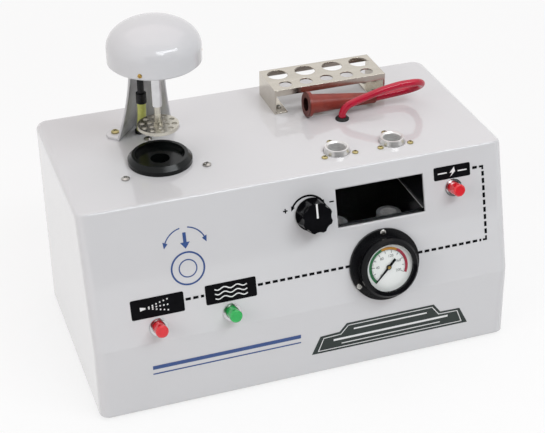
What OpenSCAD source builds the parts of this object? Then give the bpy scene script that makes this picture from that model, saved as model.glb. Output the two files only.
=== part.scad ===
// Bench spark plug cleaner and tester in a painted case with a sloped front panel.
// Millimetres, +Z up. The origin is on the floor, under the middle of the case.
// Panel pieces are placed by x and by the distance down the slope from the top's front edge.
// Pieces on the top are placed by x and by the distance behind the top's front edge.

/* [Case] */
// Width of the case
case_w = 400; // [384:1:460]
// Depth of the case at its foot
case_d = 222; // [214:1:250]
// Height of the case walls
case_h = 193; // [186:1:230]
// Depth of the flat top
top_d = 186; // [180:1:200]
// Height of the sloped panel, from its bend to the top
panel_h = 122; // [118:0.5:140]
// Setback of the bend from the foot of the front
bend_back = 2; // [0:0.5:6]
// Thickness of the case walls
wall = 2; // [1.6:0.1:3]
// Radius of the upright front edges
edge_r = 9; // [6:0.5:14]
// Radius of the upright back edges
back_r = 12; // [8:0.5:16]
// Radius of the edges round the top
top_r = 5; // [4:0.5:8]
// Chamfer of the bottom edge
foot_cut = 1.2; // [0.5:0.1:1.4]
// Gap between the case and the floor
case_lift = 3; // [2:0.5:8]

/* [Base] */
// Thickness of the base plate
base_t = 2; // [1.5:0.1:4]
// Depth of the base plate above the case's lower edge
base_recess = 1; // [0.5:0.1:3]
// Diameter of the screw posts inside the case
post_d = 11; // [10:0.5:16]
// Length of the screw posts
post_len = 16; // [12:1:30]
// Distance of the posts from the front and back of the case
post_in = 34; // [26:1:60]
// Diameter of a rubber foot at the floor
foot_d = 18; // [14:0.5:24]
// Distance of the feet from the sides of the case
foot_in_x = 46; // [36:1:70]
// Distance of the feet from the front and back of the case
foot_in_y = 36; // [28:1:60]

/* [Rear panel] */
// Width of the rear service panel
rear_w = 170; // [150:1:200]
// Height of the rear service panel
rear_h = 96; // [80:1:120]
// Thickness of the rear service panel
rear_t = 2; // [1.5:0.1:3]
// Middle of the rear panel, sideways
rear_x = -60; // [-90:1:0]
// Middle of the rear panel above the case's lower edge
rear_z = 78; // [66:1:100]
// Overlap of the rear panel on the case
rear_lap = 11; // [9:0.5:16]
// Distance of the air inlet from the panel's middle
inlet_dx = 46; // [40:1:56]
// Height of the air inlet and the gland above the panel's middle
fitting_dz = -8; // [-16:1:10]
// Across flats of the air inlet
inlet_hex = 19; // [17:0.5:24]
// Length of the air inlet outside the panel
inlet_len = 12; // [10:0.5:18]
// Bore of the air inlet
inlet_bore = 11.8; // [10:0.1:13]
// Outside diameter of the lead gland
gland_d = 18; // [15:0.5:22]
// Bore of the lead gland
gland_bore = 7.6; // [6:0.1:9]

/* [Buttons] */
// Blast button, sideways
blast_x = -141.5; // [-160:0.5:-120]
// Air button, sideways
air_x = -74; // [-90:0.5:-56]
// Distance of the blast and air buttons up the panel from its bend
cleaner_up = 14.65; // [12.65:0.1:22.65]
// Tester button, sideways
tester_x = 147.5; // [140:0.5:170]
// Distance of the tester button down the panel
tester_s = 36; // [28:0.5:60]
// Diameter of a button cap
cap_d = 11.5; // [10:0.1:13]
// How far a button cap stands out
cap_out = 15; // [13:0.5:20]
// Travel of a button
cap_travel = 4; // [2:0.5:5]
// Wall of a button bushing
bush_wall = 1; // [0.8:0.1:1.6]
// Width of the bezel's rim beyond its bushing
bezel_rim = 1.2; // [0.8:0.1:3]
// Height of the bezel above the panel
bezel_h = 2.5; // [1.5:0.1:4]
// Length of a bushing behind the panel
bush_len = 12; // [11:0.5:16]
// Length of a valve or switch body
valve_len = 26; // [22:0.5:34]
// Diameter of a valve or switch body
valve_d = 19; // [17:0.5:24]
// Wire of a return spring
spring_wire = 0.8; // [0.6:0.1:1]

/* [Pressure knob] */
// Pressure knob, sideways
knob_x = 8.5; // [0:0.5:14]
// Distance of the knob down the panel
knob_s = 36; // [30:0.5:44]
// Diameter of the knob
knob_d = 31; // [28:0.5:36]
// Height of the knob
knob_h = 16; // [13:0.5:20]
// Number of finger flutes
flute_count = 8; // [6:1:10]
// Radius of a flute
flute_r = 8; // [6:0.5:10]
// Depth of a flute
flute_cut = 1.6; // [1:0.1:2]
// Gap under the knob
knob_gap = 1.5; // [1:0.1:3]
// Diameter of the regulator spindle
spindle_d = 6; // [5:0.1:7]
// Diameter of the regulator bushing
neck_d = 10; // [9:0.1:11]
// Diameter of the regulator body
regulator_d = 36; // [30:0.5:42]
// Length of the regulator body
regulator_len = 46; // [36:1:56]

/* [Gauge] */
// Gauge, sideways
gauge_x = 74; // [64:0.5:90]
// Distance of the gauge up the panel from its bend
gauge_up = 30.65; // [28.65:0.1:32.65]
// Diameter of the mounting flange
flange_d = 68; // [66:0.5:72]
// Thickness of the mounting flange
flange_t = 3; // [2:0.1:4]
// Diameter of the gauge body behind the panel
gauge_body_d = 52; // [51:0.5:54]
// Diameter of the cup in front of the panel
cup_d = 53; // [52:0.5:55]
// Height of the cup above the panel
cup_h = 15; // [13:0.5:18]
// Depth of the gauge behind the panel
gauge_depth = 28; // [24:0.5:36]
// Thickness of the gauge's back wall
gauge_wall = 2; // [1.5:0.1:3]
// Diameter of the dial
dial_d = 47; // [44:0.5:48]
// Height of the dial's seat above the panel
dial_seat = 10; // [8:0.5:10.5]
// Thickness of the dial
dial_t = 0.8; // [0.5:0.1:1.2]
// Thickness of the lens
lens_t = 1.5; // [1:0.1:2]
// Thickness of the bezel over the lens
gauge_rim_t = 2; // [1.5:0.1:3]
// Radius of the flange screw circle
gauge_screw_r = 31; // [30:0.1:31.5]
// Length of the needle's thin end
needle_len = 19; // [16:0.5:20]
// Length of the needle's tail
needle_tail = 9.5; // [7:0.5:12]

/* [Viewing hood] */
// Middle of the window, sideways
window_x = 75.6; // [72:0.2:80]
// Middle of the window down the panel
window_s = 36; // [34:0.5:37]
// Width of the window
window_w = 85.4; // [82:0.2:88]
// Height of the window along the panel
window_h = 36.3; // [34:0.1:38]
// Thickness of the window pane
pane_t = 2; // [1.5:0.1:3]
// Overlap of the pane behind the panel
pane_lap = 4; // [3:0.5:6]
// Thickness of the hood's sheet
hood_t = 1.5; // [1:0.1:2]
// Back of the hood behind the top's front edge
hood_back = 62; // [58:0.5:64]
// Depth of the mirror's face below the top
mirror_drop = 52; // [51:0.5:55]
// Thickness of the mirror
mirror_t = 3; // [2:0.1:4]

/* [Test sockets] */
// Left test socket, sideways
socket_left_x = 48.6; // [46:0.2:50]
// Right test socket, sideways
socket_right_x = 103.1; // [102:0.2:104]
// Test sockets behind the top's front edge
socket_back = 32.4; // [31:0.2:36]
// Outside diameter of a socket
socket_d = 23.8; // [23:0.1:26]
// Diameter of a socket at its top edge
socket_top_d = 21.8; // [21:0.1:23]
// Threaded bore of a socket, on its crests
socket_bore = 16.4; // [14:0.1:18]
// Diameter of the bore's mouth
socket_mouth = 19; // [18.4:0.1:20]
// Height of a socket above the top
socket_h = 5; // [3:0.1:6]
// Thickness of the socket's flange under the top
socket_flange_t = 4; // [3:0.1:6]
// Radius of the socket's screw circle
socket_screw_r = 17.1; // [16.5:0.1:18]
// Length of a socket under the hood's ceiling
socket_drop = 20; // [18:0.5:22]
// Outside diameter of a socket's ring nut
socket_nut_d = 30; // [28:0.5:31]

/* [Adapter rack] */
// Middle of the rack, sideways
rack_x = 75.8; // [70:0.2:90]
// Front of the rack behind the top's front edge
rack_front = 119; // [118.6:0.2:126]
// Width of the rack
rack_w = 113; // [108:0.5:130]
// Depth of the rack
rack_d = 46; // [44:0.5:52]
// Height of the rack
rack_h = 25; // [22:0.5:32]
// Thickness of the rack's sheet
rack_t = 1.5; // [1:0.1:2]
// Depth of the rack's front and back lips
rack_lip = 6.3; // [4:0.1:8]
// Width of the rack's inturned feet
rack_foot = 13; // [11:0.5:16]
// Number of large holes
large_count = 4; // [3:1:4]
// Diameter of a large hole
large_d = 20; // [18:0.5:22]
// Pitch of the large holes
large_pitch = 28.2; // [25:0.1:29]
// Large holes behind the rack's front
large_in = 33; // [32:0.5:34]
// Number of small holes
small_count = 5; // [4:1:5]
// Diameter of a small hole
small_d = 12.5; // [10:0.5:13]
// Pitch of the small holes
small_pitch = 20.9; // [18:0.1:22]
// Small holes behind the rack's front
small_in = 11; // [9.5:0.5:12]

/* [High-tension lead] */
// Lead's grommet, sideways
lead_x = 76.4; // [70:0.2:84]
// Lead's grommet behind the top's front edge
lead_back = 89; // [84:0.5:89.5]
// Diameter of the lead
lead_d = 7; // [6:0.1:8]
// Diameter of the grommet
grommet_d = 13; // [12:0.1:14]
// Height of the grommet above the top
grommet_h = 2.5; // [2:0.1:4]
// Diameter of the boot's collar
boot_collar_d = 24; // [20:0.1:24.5]
// Length of the boot's collar
boot_collar_t = 4; // [3:0.1:6]
// Diameter of the boot behind its collar
boot_d = 19; // [17:0.1:21]
// Diameter of the boot at the lead
boot_tip_d = 10; // [9:0.1:12]
// Diameter of the boot's mouth
boot_mouth_d = 13; // [11:0.1:14]
// Depth of the boot's mouth
boot_depth = 32; // [26:0.5:36]
// Diameter of the ignition coil
coil_d = 46; // [40:0.5:48]
// Height of the ignition coil's can
coil_h = 95; // [80:1:105]

/* [Blast ring] */
// Blast ring and head, sideways
head_x = -107.5; // [-120:0.5:-96]
// Blast ring and head behind the top's front edge
head_back = 69; // [64:0.5:76]
// Outside diameter of the ring
ring_d = 58.5; // [54:0.5:62]
// Height of the ring
ring_h = 8; // [6:0.5:10]
// Height of the ring's upright outer face
ring_side = 4; // [3:0.5:5]
// Diameter of the ring's top edge
ring_top_d = 51; // [48:0.5:53]
// Diameter of the recess
recess_d = 45; // [42:0.5:46]
// Thickness of the recess floor
recess_floor = 3; // [2:0.5:4]
// Diameter of the hole for the plug
ring_hole = 17.5; // [14:0.1:20]
// Diameter of the spigot through the top
spigot_d = 40; // [36:0.5:42]
// Length of the spigot below the top of the case
spigot_len = 7; // [6:0.5:12]
// Radius of the ring's screw circle
ring_screw_r = 43.2; // [41:0.1:45]

/* [Blast chamber] */
// Diameter of the blast chamber
chamber_d = 56; // [54:0.5:58]
// Wall of the blast chamber
chamber_wall = 3; // [2:0.1:4]
// Diameter of the chamber's flange
chamber_flange_d = 98; // [94:0.5:102]
// Thickness of the chamber's flange
chamber_flange_t = 4; // [3:0.1:6]
// Depth of the chamber's round part
chamber_h = 95; // [80:1:105]
// Depth of the hopper below it
hopper_h = 40; // [30:1:50]
// Diameter of the blast nozzle
nozzle_d = 9; // [7:0.1:12]
// Bore of the blast nozzle
nozzle_bore = 4; // [3:0.1:5]

/* [Head] */
// Height of the bracket's post
post_h = 97; // [85:1:110]
// Half width of the post at its foot
post_foot_half = 27; // [25:0.5:30]
// Half width of the post at its top
post_top_half = 15; // [14:0.5:17]
// Half width of the post's back
post_back_half = 6; // [5:0.5:8]
// Front of the post's foot behind the head's axis
post_front_foot = 49.5; // [47:0.5:52]
// Front of the post's top behind the head's axis
post_front_top = 31; // [30:0.5:32]
// Back of the post's foot behind the head's axis
post_back_foot = 74; // [72:0.5:77]
// Back of the post's top behind the head's axis
post_back_top = 43; // [42:0.5:45]
// Thickness of the bracket's sheet
bracket_t = 2; // [1.5:0.1:2.5]
// Length of a foot tab
tab_len = 22; // [20:0.5:26]
// Width of a foot tab
tab_w = 15; // [14:0.5:18]
// Thickness of the cylinder head inside the dome
plate_t = 8; // [7:0.5:10]
// Outside diameter of the dome
dome_d = 82.5; // [76:0.5:86]
// Wall of the dome
dome_wall = 2; // [1.5:0.1:3]
// Height of the dome's upright rim
dome_rim = 12.5; // [11:0.5:18]
// Height of the dome's cap
dome_cap = 25; // [20:0.5:30]
// Drop of the dome below the cylinder head's underside
dome_drop = -2; // [-3:0.5:2]

/* [Plunger] */
// Outside diameter of the cylinder sleeve
sleeve_d = 8.6; // [8:0.1:10]
// Bore of the cylinder sleeve
sleeve_bore = 7; // [6.6:0.1:7.4]
// Bottom of the sleeve above the top of the case
sleeve_low = 56; // [52:0.5:62]
// Length of the bush at the sleeve's foot
sleeve_bush = 4; // [3:0.5:6]
// Diameter of the rod
rod_d = 5.5; // [5:0.1:5.8]
// Diameter of the presser disc
disc_d = 37; // [34:0.5:40]
// Thickness of the presser disc
disc_t = 3.2; // [2.8:0.1:5]
// Top of the presser disc above the top of the case
disc_top = 38; // [36:0.5:42]
// Number of outer holes in the disc
disc_outer = 10; // [8:1:10]
// Radius of the outer hole circle
disc_outer_r = 14.5; // [14:0.1:15]
// Number of inner holes in the disc
disc_inner = 6; // [5:1:6]
// Radius of the inner hole circle
disc_inner_r = 8; // [7.5:0.1:8.5]
// Diameter of the disc's holes
disc_hole = 4.8; // [4:0.1:5.2]

/* [Air hose] */
// Hose's top end beside the head's axis
hose_dx = -6.6; // [-7:0.1:-6]
// Hose's top end behind the head's axis
hose_dy = 32; // [31.5:0.1:32.5]
// Lean of the hose where it meets its bulkhead, in degrees
hose_lean = 40; // [36:0.5:42]
// Swing of the hose towards the middle of the post, in degrees
hose_swing = 8; // [4:0.5:12]
// Bend radius of the hose, in hose diameters
hose_bend = 4; // [4:0.1:4.5]
// Diameter of the hose
hose_d = 8; // [7:0.1:8.5]
// Diameter of the fitting's collar
collar_d = 9.6; // [9:0.1:11]
// Length of the fitting's collar
collar_len = 9.5; // [8:0.5:14]
// Diameter of the fitting's stem
stem_d = 6; // [5.5:0.1:7]
// Bottom of the collar above the top of the case
collar_low = 45; // [42:0.5:50]

/* [Hidden] */

$fn = 64;
gap = 0.3;
fit = 0.05;
cut = 1;
slice = 0.01;
least_r = 0.5;
corner_steps = 8;
crown_steps = 4;
quarter = 90;
hex_sides = 6;
screw_count = 3;
screw_slack = 0.15;

paint = [0.83, 0.83, 0.85];
black = [0.06, 0.06, 0.07];
steel = [0.72, 0.72, 0.7];
chrome = [0.86, 0.86, 0.87];
alloy = [0.78, 0.79, 0.8];
brass = [0.74, 0.6, 0.28];
zinc = [0.75, 0.72, 0.5];
rubber = [0.1, 0.1, 0.1];
clear_glass = [0.8, 0.9, 0.95, 0.35];
cap_red = [0.85, 0.08, 0.1];
cap_green = [0.1, 0.62, 0.25];
lead_red = [0.75, 0.05, 0.15];
boot_brown = [0.5, 0.16, 0.12];
board_green = [0.1, 0.35, 0.18];
hose_yellow = [0.72, 0.76, 0.3];

top_z = case_lift + case_h;
under_z = top_z - wall;
front_y = -case_d / 2;
back_y = case_d / 2;
edge_y = back_y - top_d;
bend_h = case_h - panel_h;
bend_z = case_lift + bend_h;
bend_y = front_y + bend_back;
tilt = atan((edge_y - bend_y) / panel_h);
panel_len = panel_h / cos(tilt);
cleaner_s = panel_len - cleaner_up;
gauge_s = panel_len - gauge_up;
base_z = case_lift + base_recess;
floor_z = base_z + base_t;
rear_mid_z = case_lift + rear_z;

screw_head = 0.95;
screw_head_h = 0.6;
screw_shoulder = 0.55;
screw_crown = 0.6;
screw_slot = 0.24;
screw_slot_len = 1.1;
screw_slot_deep = 0.35;
m5 = 5;
m4 = 4;
m3 = 3;
m2 = 2;

function front_at(z) = z < bend_z
    ? front_y + bend_back * (z - case_lift) / bend_h
    : edge_y - (top_z - z) * tan(tilt);
function panel_y(s, off) = edge_y - s * sin(tilt) - off * cos(tilt);
function panel_z(s, off) = top_z - s * cos(tilt) + off * sin(tilt);

module on_top(x, back) {
    translate([x, edge_y + back, top_z])
        children();
}

module on_panel(x, s) {
    translate([0, edge_y, top_z])
        rotate([90 - tilt, 0, 0])
            translate([x, -s, 0])
                children();
}

module on_back(x, z) {
    translate([x, back_y, z])
        rotate([-90, 0, 0])
            children();
}

module on_head() {
    on_top(head_x, head_back)
        children();
}

module tube(r_out, r_in, low, high) {
    translate([0, 0, low])
        difference() {
            cylinder(h = high - low, r = r_out);
            translate([0, 0, -cut])
                cylinder(h = high - low + 2 * cut, r = r_in);
        }
}

module rod(r, low, high) {
    translate([0, 0, low])
        cylinder(h = high - low, r = r);
}

module hex(flats, low, high) {
    translate([0, 0, low])
        cylinder(h = high - low, d = flats / cos(180 / hex_sides), $fn = hex_sides);
}

module ring_of(count, r, start) {
    for (i = [0:count - 1])
        rotate([0, 0, start + 360 * i / count])
            translate([r, 0, 0])
                children();
}

// A cross-slotted pan-head screw, with its seat at z = 0 and its shank below.
module pan_screw(d, length) {
    head_r = d * screw_head;
    head_h = d * screw_head_h;
    difference() {
        union() {
            rotate_extrude()
                polygon([[0, 0], [head_r, 0], [head_r, head_h * screw_shoulder],
                    [head_r * screw_crown, head_h], [0, head_h]]);
            rod(d / 2, -length, slice);
        }
        for (turn = [0, 90])
            rotate([0, 0, turn])
                translate([0, 0, head_h])
                    cube([d * screw_slot_len, d * screw_slot, 2 * d * screw_slot_deep], center = true);
    }
}

module screw_hole(d, depth) {
    rod(d / 2 + screw_slack, -depth, cut);
}

// Faces of a loft through rings of points, each ring counter-clockwise seen from the far end.
function loft_sides(rings, sides) = concat(
    [for (i = [0:rings - 2], k = [0:sides - 1])
        let (a = i * sides + k, b = i * sides + (k + 1) % sides)
            [a, a + sides, b + sides]],
    [for (i = [0:rings - 2], k = [0:sides - 1])
        let (a = i * sides + k, b = i * sides + (k + 1) % sides)
            [a, b + sides, b]]
);
function loft_faces(rings, sides) = concat(
    loft_sides(rings, sides),
    [[for (k = [0:sides - 1]) k]],
    [[for (k = [sides - 1:-1:0]) (rings - 1) * sides + k]]
);

function unit(v) = v / norm(v);
function along(path, t0, t1, i) = i == 0 ? unit(t0)
    : i == len(path) - 1 ? unit(t1)
    : unit(path[i + 1] - path[i - 1]);
function side_of(path, t0, t1, across, i) = let (
        t = along(path, t0, t1, i),
        n = i == 0 ? across : side_of(path, t0, t1, across, i - 1)
    ) unit(n - (n * t) * t);
function ring_at(c, t, n, r, sides) = let (b = cross(t, n))
    [for (k = [0:sides - 1]) c + r * (cos(360 * k / sides) * n + sin(360 * k / sides) * b)];

// A round tube swept along a path, square to t0 at its start and to t1 at its end.
module swept(path, t0, t1, across, r, sides) {
    polyhedron(
        points = [for (i = [0:len(path) - 1])
            each ring_at(path[i], along(path, t0, t1, i), side_of(path, t0, t1, across, i), r, sides)],
        faces = loft_faces(len(path), sides)
    );
}

spring_sides = 6;
spring_rings = 8;
function helix(r, turns, rings, low, high) = [for (i = [0:turns * rings])
    let (a = 360 * i / rings)
        [r * cos(a), r * sin(a), low + (high - low) * i / (turns * rings)]];
function helix_ring(p, r_wire, rise) = let (a = atan2(p[1], p[0]))
    ring_at(p, unit([-norm([p[0], p[1]]) * sin(a), norm([p[0], p[1]]) * cos(a), rise / (2 * PI)]),
        [cos(a), sin(a), 0], r_wire, spring_sides);
function least_gap(path, wire, rings) = min([for (i = [0:len(path) - 1 - rings])
    norm(path[i + rings] - path[i]) - wire]);

module coil_spring(r, wire, turns, rings, low, high) {
    path = helix(r, turns, rings, low + wire / 2 + fit, high - wire / 2 - fit);
    echo("spring: least gap to itself", least_gap(path, wire, rings));
    polyhedron(
        points = [for (p = path) each helix_ring(p, wire / 2, (high - low) / turns)],
        faces = loft_faces(len(path), spring_sides)
    );
}

// Case

function corner(cx, cy, r, start) = [for (i = [0:corner_steps])
    let (a = start + quarter * i / corner_steps)
        [cx + r * cos(a), cy + r * sin(a)]];
function plan(front, back, half, rf, rb) = concat(
    corner(half - rb, back - rb, rb, 0),
    corner(-half + rb, back - rb, rb, 90),
    corner(-half + rf, front + rf, rf, 180),
    corner(half - rf, front + rf, rf, 270)
);
function level(z, inset, lip, skin) = [
    z,
    front_at(z) + lip + (z < bend_z ? skin : skin / cos(tilt)),
    back_y - skin - inset,
    case_w / 2 - skin - inset,
    max(edge_r - skin - inset, least_r),
    max(back_r - skin - inset, least_r)
];
function crown(skin) = [for (i = [0:crown_steps])
    let (a = quarter * i / crown_steps, r = top_r - skin)
        level(top_z - skin - r * (1 - sin(a)), r * (1 - cos(a)), 0, skin)];
outer_levels = concat(
    [level(case_lift, foot_cut, foot_cut, 0), level(case_lift + foot_cut, 0, 0, 0), level(bend_z, 0, 0, 0)],
    crown(0)
);
inner_levels = concat(
    [level(case_lift - cut, 0, 0, wall), level(bend_z, 0, 0, wall)],
    crown(wall)
);

module case_solid(levels) {
    hull()
        for (v = levels)
            translate([0, 0, v[0] - slice])
                linear_extrude(slice)
                    polygon(plan(v[1], v[2], v[3], v[4], v[5]));
}

post_x = case_w / 2 - wall - post_d / 2 + cut;
post_ys = [front_y + post_in, back_y - post_in];
module at_posts() {
    for (x = [-post_x, post_x], y = post_ys)
        translate([x, y, floor_z])
            children();
}

rear_screw_in = rear_lap / 2;
rear_xs = [rear_x - rear_w / 2 + rear_screw_in, rear_x + rear_w / 2 - rear_screw_in];
rear_zs = [rear_mid_z - rear_h / 2 + rear_screw_in, rear_mid_z + rear_h / 2 - rear_screw_in];
module at_rear_screws(out) {
    for (x = rear_xs, z = rear_zs)
        on_back(x, z)
            translate([0, 0, out])
                children();
}

bush_r = cap_d / 2 + gap + bush_wall;
button_places = [[blast_x, cleaner_s], [air_x, cleaner_s], [tester_x, tester_s]];
socket_xs = [socket_left_x, socket_right_x];
screw_angle = 90;

module at_rack_screws() {
    for (side = [-1, 1], end = [rack_screw_in, rack_d - rack_screw_in])
        on_top(rack_x + side * (rack_w / 2 - rack_foot / 2 - rack_t / 2), rack_front + end)
            children();
}
rack_screw_in = 11;

module top_cuts() {
    on_head()
        rod(spigot_d / 2 + gap, -wall - cut, cut);
    on_head()
        ring_of(screw_count, ring_screw_r, screw_angle)
            screw_hole(m4, wall + cut);
    for (x = socket_xs)
        on_top(x, socket_back) {
            rod(socket_d / 2 + gap, -wall - cut, cut);
            ring_of(screw_count, socket_screw_r, screw_angle)
                screw_hole(m3, wall + cut);
        }
    at_rack_screws()
        screw_hole(m3, wall + cut);
    on_top(lead_x, lead_back)
        rod(grommet_neck_r + fit, -wall - cut, cut);
    on_head()
        translate([hose_foot[0], hose_foot[1], 0])
            rod(bulkhead_r + screw_slack, -wall - cut, cut);
    on_head()
        at_tab_holes()
            screw_hole(m4, wall + cut);
}

module panel_cuts() {
    on_panel(window_x, window_s)
        cube([window_w, window_h, 2 * (wall + cut)], center = true);
    on_panel(gauge_x, gauge_s) {
        rod(gauge_body_d / 2 + gap, -wall - cut, cut);
        ring_of(screw_count, gauge_screw_r, screw_angle)
            screw_hole(m3, wall + cut);
    }
    for (p = button_places)
        on_panel(p[0], p[1])
            rod(bush_r + fit, -wall - cut, cut);
    on_panel(knob_x, knob_s)
        rod(neck_d / 2 + fit, -wall - cut, cut);
}

module rear_cuts() {
    translate([rear_x, back_y, rear_mid_z])
        cube([rear_w - 2 * rear_lap, 2 * (wall + cut), rear_h - 2 * rear_lap], center = true);
    at_rear_screws(0)
        screw_hole(m4, wall + cut);
}

module case_shell() {
    color(paint)
        difference() {
            union() {
                difference() {
                    case_solid(outer_levels);
                    case_solid(inner_levels);
                }
                at_posts()
                    rod(post_d / 2, 0, post_len);
            }
            at_posts()
                rod(m4 / 2 + screw_slack, -cut, post_len - cut);
            top_cuts();
            panel_cuts();
            rear_cuts();
        }
}

feet_x = case_w / 2 - foot_in_x;
feet_ys = [front_y + foot_in_y, back_y - foot_in_y];
module at_feet() {
    for (x = [-feet_x, feet_x], y = feet_ys)
        translate([x, y, 0])
            children();
}

module base_plate() {
    base_r = edge_r - wall;
    color(steel)
        difference() {
            translate([0, 0, base_z])
                linear_extrude(base_t)
                    polygon(plan(front_at(floor_z) + wall + gap, back_y - wall - gap,
                        case_w / 2 - wall - gap, base_r, back_r - wall));
            at_posts()
                screw_hole(m4, base_t + cut);
            at_feet()
                rod(foot_stem_r + fit, base_z - cut, floor_z + cut);
        }
}

module rear_panel() {
    color(paint)
        difference() {
            translate([rear_x - rear_w / 2, back_y, rear_mid_z - rear_h / 2])
                cube([rear_w, rear_t, rear_h]);
            at_rear_screws(rear_t)
                screw_hole(m4, rear_t + cut);
            at_inlet()
                rod(inlet_neck_r + fit, -cut, rear_t + cut);
            at_gland()
                rod(gland_neck_r + fit, -cut, rear_t + cut);
        }
}

cover_screw_len = 9;
module cover_screws() {
    color(steel) {
        at_posts()
            translate([0, 0, -base_t])
                mirror([0, 0, 1])
                    pan_screw(m4, cover_screw_len);
        at_rear_screws(rear_t)
            pan_screw(m4, cover_screw_len);
    }
}

foot_taper = 0.9;
foot_stem_r = 3;
foot_barb_r = 4.2;
foot_barb_h = 3;
module rubber_feet() {
    color(rubber)
        at_feet()
            rotate_extrude()
                polygon([[0, 0], [foot_taper * foot_d / 2, 0], [foot_d / 2, base_z], [foot_stem_r, base_z],
                    [foot_stem_r, floor_z], [foot_barb_r, floor_z], [foot_stem_r / 2, floor_z + foot_barb_h],
                    [0, floor_z + foot_barb_h]]);
}

inlet_neck_r = 8;
inlet_back = 16;
inlet_nut_t = 4;
module at_inlet() {
    on_back(rear_x - inlet_dx, rear_mid_z + fitting_dz)
        children();
}

module air_inlet() {
    color(brass)
        at_inlet()
            difference() {
                union() {
                    hex(inlet_hex, rear_t, rear_t + inlet_len - cut);
                    rod(inlet_hex / 2 - cut / 2, rear_t + inlet_len - cut - slice, rear_t + inlet_len);
                    rod(inlet_neck_r, -inlet_back, rear_t + slice);
                    tube(inlet_neck_r + inlet_nut_t, inlet_neck_r - cut, -inlet_nut_t, 0);
                }
                rod(inlet_bore / 2, 0, rear_t + inlet_len + cut);
                rod(nozzle_bore / 2, -inlet_back - cut, cut);
            }
}

gland_neck_r = 6.5;
gland_out = 13;
gland_back = 10;
gland_flange_t = 4;
module at_gland() {
    on_back(rear_x + inlet_dx, rear_mid_z + fitting_dz)
        children();
}

module mains_gland() {
    color(black)
        at_gland()
            rotate_extrude()
                polygon([[gland_bore / 2, -gland_back], [gland_neck_r, -gland_back], [gland_neck_r, rear_t],
                    [gland_d / 2, rear_t], [gland_d / 2, rear_t + gland_flange_t],
                    [gland_neck_r, rear_t + gland_out], [gland_bore / 2, rear_t + gland_out]]);
}

// Buttons: a cap slides in a bushing, and its stem runs in a valve or switch behind it.

cap_back = 8;
cap_round = 1.2;
button_stem_r = 2.4;
button_stem_len = 18;
spring_pocket = 10;
bush_end = wall + bush_len;
spring_turns = 6;
spring_r = 3.9;

module button_cap(place, tint) {
    cap_r = cap_d / 2;
    color(tint)
        on_panel(place[0], place[1])
            rotate_extrude()
                polygon([[0, -cap_back - button_stem_len], [button_stem_r, -cap_back - button_stem_len],
                    [button_stem_r, -cap_back], [cap_r, -cap_back], [cap_r, cap_out - cap_round],
                    [cap_r - cap_round, cap_out], [0, cap_out]]);
}

module blast_button() {
    button_cap(button_places[0], cap_red);
}

module air_button() {
    button_cap(button_places[1], cap_green);
}

module tester_button() {
    button_cap(button_places[2], cap_red);
}

module button_bezels() {
    color(chrome)
        for (p = button_places)
            on_panel(p[0], p[1]) {
                tube(bush_r, cap_d / 2 + gap, -bush_end, bezel_h);
                tube(bush_r + bezel_rim, cap_d / 2 + gap, 0, bezel_h - cut);
            }
}

button_nut_t = 3;
button_nut_rim = 2.6;
module button_nuts() {
    color(steel)
        for (p = button_places)
            on_panel(p[0], p[1])
                difference() {
                    hex(2 * (bush_r + button_nut_rim), -wall - button_nut_t, -wall);
                    rod(bush_r + fit, -wall - button_nut_t - cut, -wall + cut);
                }
}

port_r = 3;
port_len = 8;
port_back = 8;
module valve_body(place, tint) {
    color(tint)
        on_panel(place[0], place[1])
            difference() {
                union() {
                    rod(valve_d / 2, -bush_end - valve_len, -bush_end);
                    translate([0, 0, -bush_end - valve_len + port_back])
                        for (turn = [-90, 90])
                            rotate([turn, 0, 0])
                                rod(port_r, 0, valve_d / 2 + port_len);
                }
                rod(spring_r + spring_wire, -bush_end - spring_pocket, -bush_end + cut);
                rod(button_stem_r + fit, -cap_back - button_stem_len - cap_travel - cut, -bush_end);
            }
}

module blast_valve() {
    valve_body(button_places[0], alloy);
}

module air_valve() {
    valve_body(button_places[1], alloy);
}

blade_w = 6;
blade_t = 0.8;
blade_len = 9;
blade_gap = 4;
module tester_switch() {
    color(black)
        on_panel(tester_x, tester_s)
            difference() {
                union() {
                    rod(valve_d / 2, -bush_end - valve_len, -bush_end);
                    for (side = [-1, 1])
                        translate([side * blade_gap, 0, -bush_end - valve_len - blade_len / 2])
                            cube([blade_t, blade_w, blade_len + cut], center = true);
                }
                rod(spring_r + spring_wire, -bush_end - spring_pocket, -bush_end + cut);
                rod(button_stem_r + fit, -cap_back - button_stem_len - cap_travel - cut, -bush_end);
            }
}

module return_spring(place) {
    color(steel)
        on_panel(place[0], place[1])
            coil_spring(spring_r, spring_wire, spring_turns, spring_rings,
                -bush_end - spring_pocket, -cap_back);
}

module blast_spring() {
    return_spring(button_places[0]);
}

module air_spring() {
    return_spring(button_places[1]);
}

module tester_spring() {
    return_spring(button_places[2]);
}

// Pressure knob and regulator

neck_out = 5.5;
knob_nut_t = 3;
knob_nut_flats = 15;
knob_well_r = 10.5;
knob_well_h = 5.5;
knob_taper = 1.2;
spindle_back = 20;
spindle_into = 8;
knob_low = knob_gap;
knob_high = knob_gap + knob_h;

module pressure_knob() {
    color(black)
        on_panel(knob_x, knob_s)
            difference() {
                translate([0, 0, knob_low])
                    cylinder(h = knob_h, d1 = knob_d, d2 = knob_d - 2 * knob_taper);
                ring_of(flute_count, knob_d / 2 + flute_r - flute_cut - knob_taper, 0)
                    rod(flute_r, knob_low + knob_taper, knob_high + cut);
                rod(knob_well_r, knob_low - cut, knob_low + knob_well_h);
                rod(spindle_d / 2 + fit, knob_low, knob_low + knob_well_h + spindle_into);
            }
}

module regulator_spindle() {
    color(steel)
        on_panel(knob_x, knob_s)
            rod(spindle_d / 2, -wall - spindle_back, knob_low + knob_well_h + spindle_into - gap);
}

module regulator_nut() {
    color(steel)
        on_panel(knob_x, knob_s)
            difference() {
                hex(knob_nut_flats, 0, knob_nut_t);
                rod(neck_d / 2 + fit, -cut, knob_nut_t + cut);
            }
}

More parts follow.
